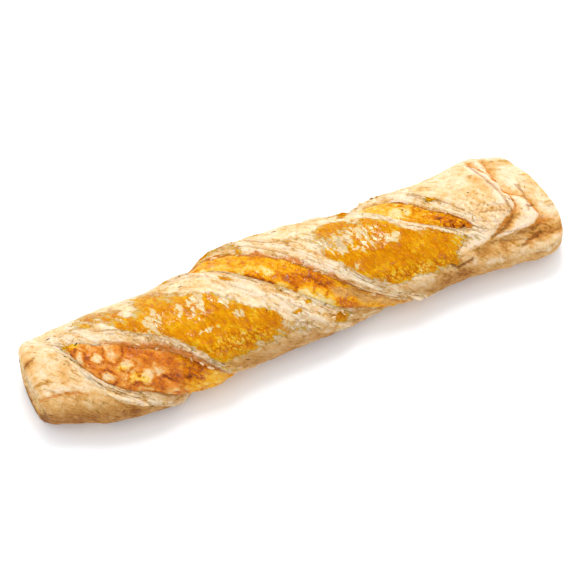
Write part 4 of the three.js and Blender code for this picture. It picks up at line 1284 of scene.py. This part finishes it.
# Loose flakes of dough on the layered bands, and herbs and burnt specks where the picture shows them:
# along, down, half length, half width, turn in degrees
crumbs = {
    "seed": 19,
    "flakes": 300,
    "flakeLong": (0.8, 2.2),
    "flakeWide": (0.35, 0.9),
    "flakeThick": 0.13,
    "ragged": 0.7,
    "markRagged": 0.25,
    "markThick": 0.14,
    "markShare": (0.8, 0.62),  # how much of its drawn length and width a mark fills
    "herbShade": colour(84, 74, 34),
    "speckShade": colour(112, 62, 28),
    "herbs": [(-97.2, -11.8, 1.2, 0.35, -65), (-91.3, -11.6, 1.3, 0.5, -35), (-96.4, -8.5, 1.0, 0.4, 50),
              (-94.6, -6.3, 0.9, 0.35, 75), (-93.8, -5, 0.7, 0.3, 60), (-92.6, -8.6, 0.9, 0.5, 0),
              (2.5, 3.6, 1.0, 0.28, 60), (57.4, -13.8, 0.8, 0.3, 90), (56.2, -14.6, 0.6, 0.3, 0),
              (-47, 9.2, 0.6, 0.25, 20), (85, -11.3, 0.7, 0.3, 20), (100.5, -2.7, 0.6, 0.3, 50)],
    "specks": [(-101.4, -17.8, 1.6, 0.3, 5), (46.5, -24.2, 1.0, 0.4, 0), (2.1, -26, 1.6, 0.35, 5),
               (-37, 18.9, 1.6, 0.4, 20), (-26.6, 21, 1.6, 0.4, 45), (11.8, 11.4, 1.3, 0.3, -15),
               (-11.8, 4.2, 0.7, 0.35, 80), (-82.4, 22, 1.2, 0.4, -20), (-71, 24.5, 1.4, 0.35, 10),
               (-113.2, -10.6, 1.6, 0.45, -25), (-111.1, 12.9, 1.5, 0.35, 20), (-3.4, -1.7, 0.8, 0.35, 60),
               (77.3, -1.3, 0.5, 0.4, 0), (78.4, 1.0, 0.5, 0.35, 0), (-116.6, -13, 1.1, 0.5, 80),
               (-42.6, -18.3, 1.2, 0.3, 0), (-57, -8.6, 0.5, 0.35, 60), (9, -8.4, 0.7, 0.3, 70),
               (67, -14.4, 1.0, 0.3, 30), (-83, 4.4, 0.6, 0.3, 40), (99, -1.6, 0.5, 0.3, 10)],
}


def turnTo(direction, normal):
    normal = normal / np.linalg.norm(normal)
    lengthwise = direction - normal * (direction @ normal)
    lengthwise = lengthwise / np.linalg.norm(lengthwise)
    return tuple(Matrix((lengthwise, np.cross(normal, lengthwise), normal)).transposed().to_euler())


def gridNormals(points):
    across = np.gradient(points, axis=1)
    normal = np.cross(np.gradient(points, axis=0), across)
    away = points - [0, 0, form["axisHeight"]]
    flip = np.sum(normal[..., 1:] * away[..., 1:], -1) < 0
    normal[flip] *= -1
    return normal / np.maximum(np.linalg.norm(normal, axis=-1), 1e-9)[..., None]


# Every place on the dough and the cheese with its outward direction
def openSurface(dough, cheeseGrid):
    points = [dough["point"], cheeseGrid]
    normals = [gridNormals(part) for part in points]
    return [np.concatenate([part.reshape(-1, 3) for part in parts]) for parts in (points, normals)]


def flakeGuides(dough):
    chance = np.random.default_rng(crumbs["seed"])
    points, normals = dough["point"], gridNormals(dough["point"])
    rings, lines = np.nonzero((dough["layered"] > 0.5) & dough["lying"] & (dough["point"][..., 2] > 7))
    chosen = chance.choice(len(rings), crumbs["flakes"], replace=False)
    places, turns, sizes, laid, toast = [], [], [], [], []
    for i, j in zip(rings[chosen], lines[chosen]):
        along = points[min(i + 2, len(points) - 1), j] - points[max(i - 2, 0), j]
        lean = chance.normal(0, 0.22, 3)
        side = np.cross(normals[i, j], along / np.linalg.norm(along))
        places.append(points[i, j] - normals[i, j] * 0.1)
        aside = side * chance.normal(0, 0.5) * np.linalg.norm(along)
        turns.append(turnTo(along + aside, normals[i, j] + lean))
        sizes.append((chance.uniform(*crumbs["flakeLong"]), chance.uniform(*crumbs["flakeWide"]),
                      crumbs["flakeThick"]))
        laid.append(dough["laid"][i, j] + chance.uniform(0, 40))
        toast.append(max(0, chance.uniform(-0.5, 0.4)))
    values = {"turn": np.array(turns), "size": np.array(sizes) * mm, "laid": np.array(laid),
              "toast": np.array(toast)}
    return meshFrom("flakeGuides", np.array(places), [], [], values)


def markGuides(kind, surface):
    points, normals = surface
    along, down = seenPlace(points)
    toCamera = np.cross(picture["down"], picture["along"])
    height = points @ toCamera
    longShare, wideShare = crumbs["markShare"]
    places, turns, sizes = [], [], []
    for atAlong, atDown, halfLength, halfWidth, turn in crumbs[kind]:
        away = np.hypot(along - atAlong, down - atDown)
        near = np.nonzero(away < max(0.6, away.min() + 0.2))[0]
        best = near[np.argmax(height[near])]
        turned = math.radians(turn)
        direction = picture["along"] * math.cos(turned) + picture["down"] * math.sin(turned)
        places.append(points[best] + normals[best] * 0.05)
        turns.append(turnTo(direction, normals[best]))
        sizes.append((longShare * halfLength, wideShare * halfWidth, crumbs["markThick"]))
    values = {"turn": np.array(turns), "size": np.array(sizes) * mm}
    return meshFrom(kind + "Guides", np.array(places), [], [], values)


# A small rounded scrap at each point, turned and sized by the point's own values
def scatterTree():
    graph, given = newTree("scrapsOnPoints", [("ragged", "NodeSocketFloat"),
                                              ("material", "NodeSocketMaterial")])
    turn = graph.stored("turn")
    size = graph.stored("size")
    scrap = graph.node("GeometryNodeMeshIcoSphere", {}, {"Radius": 1.0, "Subdivisions": 2})
    body = graph.node("GeometryNodeInstanceOnPoints", {}, {"Points": given["Geometry"], "Instance": scrap,
                                                           "Rotation": turn, "Scale": size})
    body = graph.node("GeometryNodeRealizeInstances", {}, {"Geometry": body})
    return closeTree(graph, body, 700.0, 2.0, given["ragged"], given["material"])


def plainMaterial(name, shade):
    material, graph, shader = newMaterial(name)
    graph.feed(shader, {"Base Color": shade, "Roughness": 0.7, "Specular IOR Level": 0.1})
    return material


def finished(piece, slot, *replaced):
    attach(piece, "root")
    for node in replaced:
        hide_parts(node)


print("pastry")
dough = buildPastry()
crust = placed("pastryCrust", meshFrom("pastryCrust", dough["points"], [], dough["faces"], dough["values"]))
crust.data.shade_smooth()
crust.data.materials.append(pastryMaterial("bakedPastry", pastryLook["softness"], 0.22))
leafPaint = pastryMaterial("thinPastry", 0.0, 0.0)
print("  faces", len(crust.data.polygons), "shift", dough["shift"])

print("cheese")
melt = buildCheese(dough["shift"])
cheeseBody = placed("cheeseFill", meshFrom("cheeseFill", melt["points"], [], melt["faces"], melt["values"]))
cheeseBody.data.shade_smooth()
cheeseBody.data.materials.append(cheeseMaterial())

print("leaves")
leafBody = grown("thinLeaves", leafGuides(dough["shift"]), leafTree(),
                 {"thin": leaves["thin"], "ripple": leaves["ripple"] * mm, "material": leafPaint})
print("  faces", len(leafBody.data.polygons))

print("flakes and flecks")
surface = openSurface(dough["grid"], melt["grid"])
scatter = scatterTree()
flakeBody = grown("looseFlakes", flakeGuides(dough["grid"]), scatter,
                  {"ragged": crumbs["ragged"] * mm, "material": leafPaint})
ragged = crumbs["markRagged"] * mm
herbBody = grown("driedHerbs", markGuides("herbs", surface), scatter,
                 {"ragged": ragged, "material": plainMaterial("driedHerb", crumbs["herbShade"])})
speckBody = grown("burntSpecks", markGuides("specks", surface), scatter,
                  {"ragged": ragged, "material": plainMaterial("burntCrust", crumbs["speckShade"])})

# Every face of the crust and the filling points outwards
for body in (crust, cheeseBody):
    bpy.context.view_layer.objects.active = body
    body.select_set(True)
    bpy.ops.object.mode_set(mode="EDIT")
    bpy.ops.mesh.select_all(action="SELECT")
    bpy.ops.mesh.normals_make_consistent(inside=False)
    bpy.ops.object.mode_set(mode="OBJECT")
    body.select_set(False)

finished(crust, "baked_pastry", "pastry")
finished(cheeseBody, "melted_cheese", "cheese_filling")
for piece in (leafBody, flakeBody, herbBody, speckBody):
    finished(piece, "baked_pastry")

studio = {
    "distance": 1.4,
    "azimuth": -24.13,
    "elevation": 60.0,
    "lens": 204.2,
    "sensor": 36,
    "world": 1.15,
    "keyPower": 7.4,
    "keySize": 0.55,
    "keyAt": (0.14, 0.5, 1.08),
    "floor": colour(247, 249, 252),
    "floorReach": 4,
}


def buildStudio():
    scene = bpy.context.scene
    target = Vector(picture["middle"]) * mm
    azimuth, elevation = math.radians(studio["azimuth"]), math.radians(studio["elevation"])
    back = Vector((math.sin(azimuth) * math.cos(elevation), -math.cos(azimuth) * math.cos(elevation),
                   math.sin(elevation)))
    camera = bpy.data.objects.new("camera", bpy.data.cameras.new("camera"))
    camera.data.lens = studio["lens"]
    camera.data.sensor_width = studio["sensor"]
    camera.location = target + back * studio["distance"]
    camera.rotation_mode = "QUATERNION"
    camera.rotation_quaternion = (-back).to_track_quat("-Z", "Y")
    scene.collection.objects.link(camera)
    scene.camera = camera
    world = bpy.data.worlds.new("studio")
    world.use_nodes = True
    world.node_tree.nodes["Background"].inputs["Color"].default_value = (1, 1, 1, 1)
    world.node_tree.nodes["Background"].inputs["Strength"].default_value = studio["world"]
    scene.world = world
    light = bpy.data.lights.new("key", "AREA")
    light.energy = studio["keyPower"]
    light.size = studio["keySize"]
    key = bpy.data.objects.new("key", light)
    key.location = studio["keyAt"]
    key.rotation_mode = "QUATERNION"
    key.rotation_quaternion = (target - key.location).to_track_quat("-Z", "Y")
    scene.collection.objects.link(key)
    floorMesh = bpy.data.meshes.new("floor")
    far = studio["floorReach"]
    corners = [(-far, -far, 0), (far, -far, 0), (far, far, 0), (-far, far, 0)]
    floorMesh.from_pydata(corners, [], [(0, 1, 2, 3)])
    floor = bpy.data.objects.new("floor", floorMesh)
    material, graph, shader = newMaterial("floor")
    graph.feed(shader, {"Base Color": studio["floor"], "Roughness": 0.9})
    floorMesh.materials.append(material)
    scene.collection.objects.link(floor)
    scene.view_settings.view_transform = "Standard"


print("studio")
buildStudio()
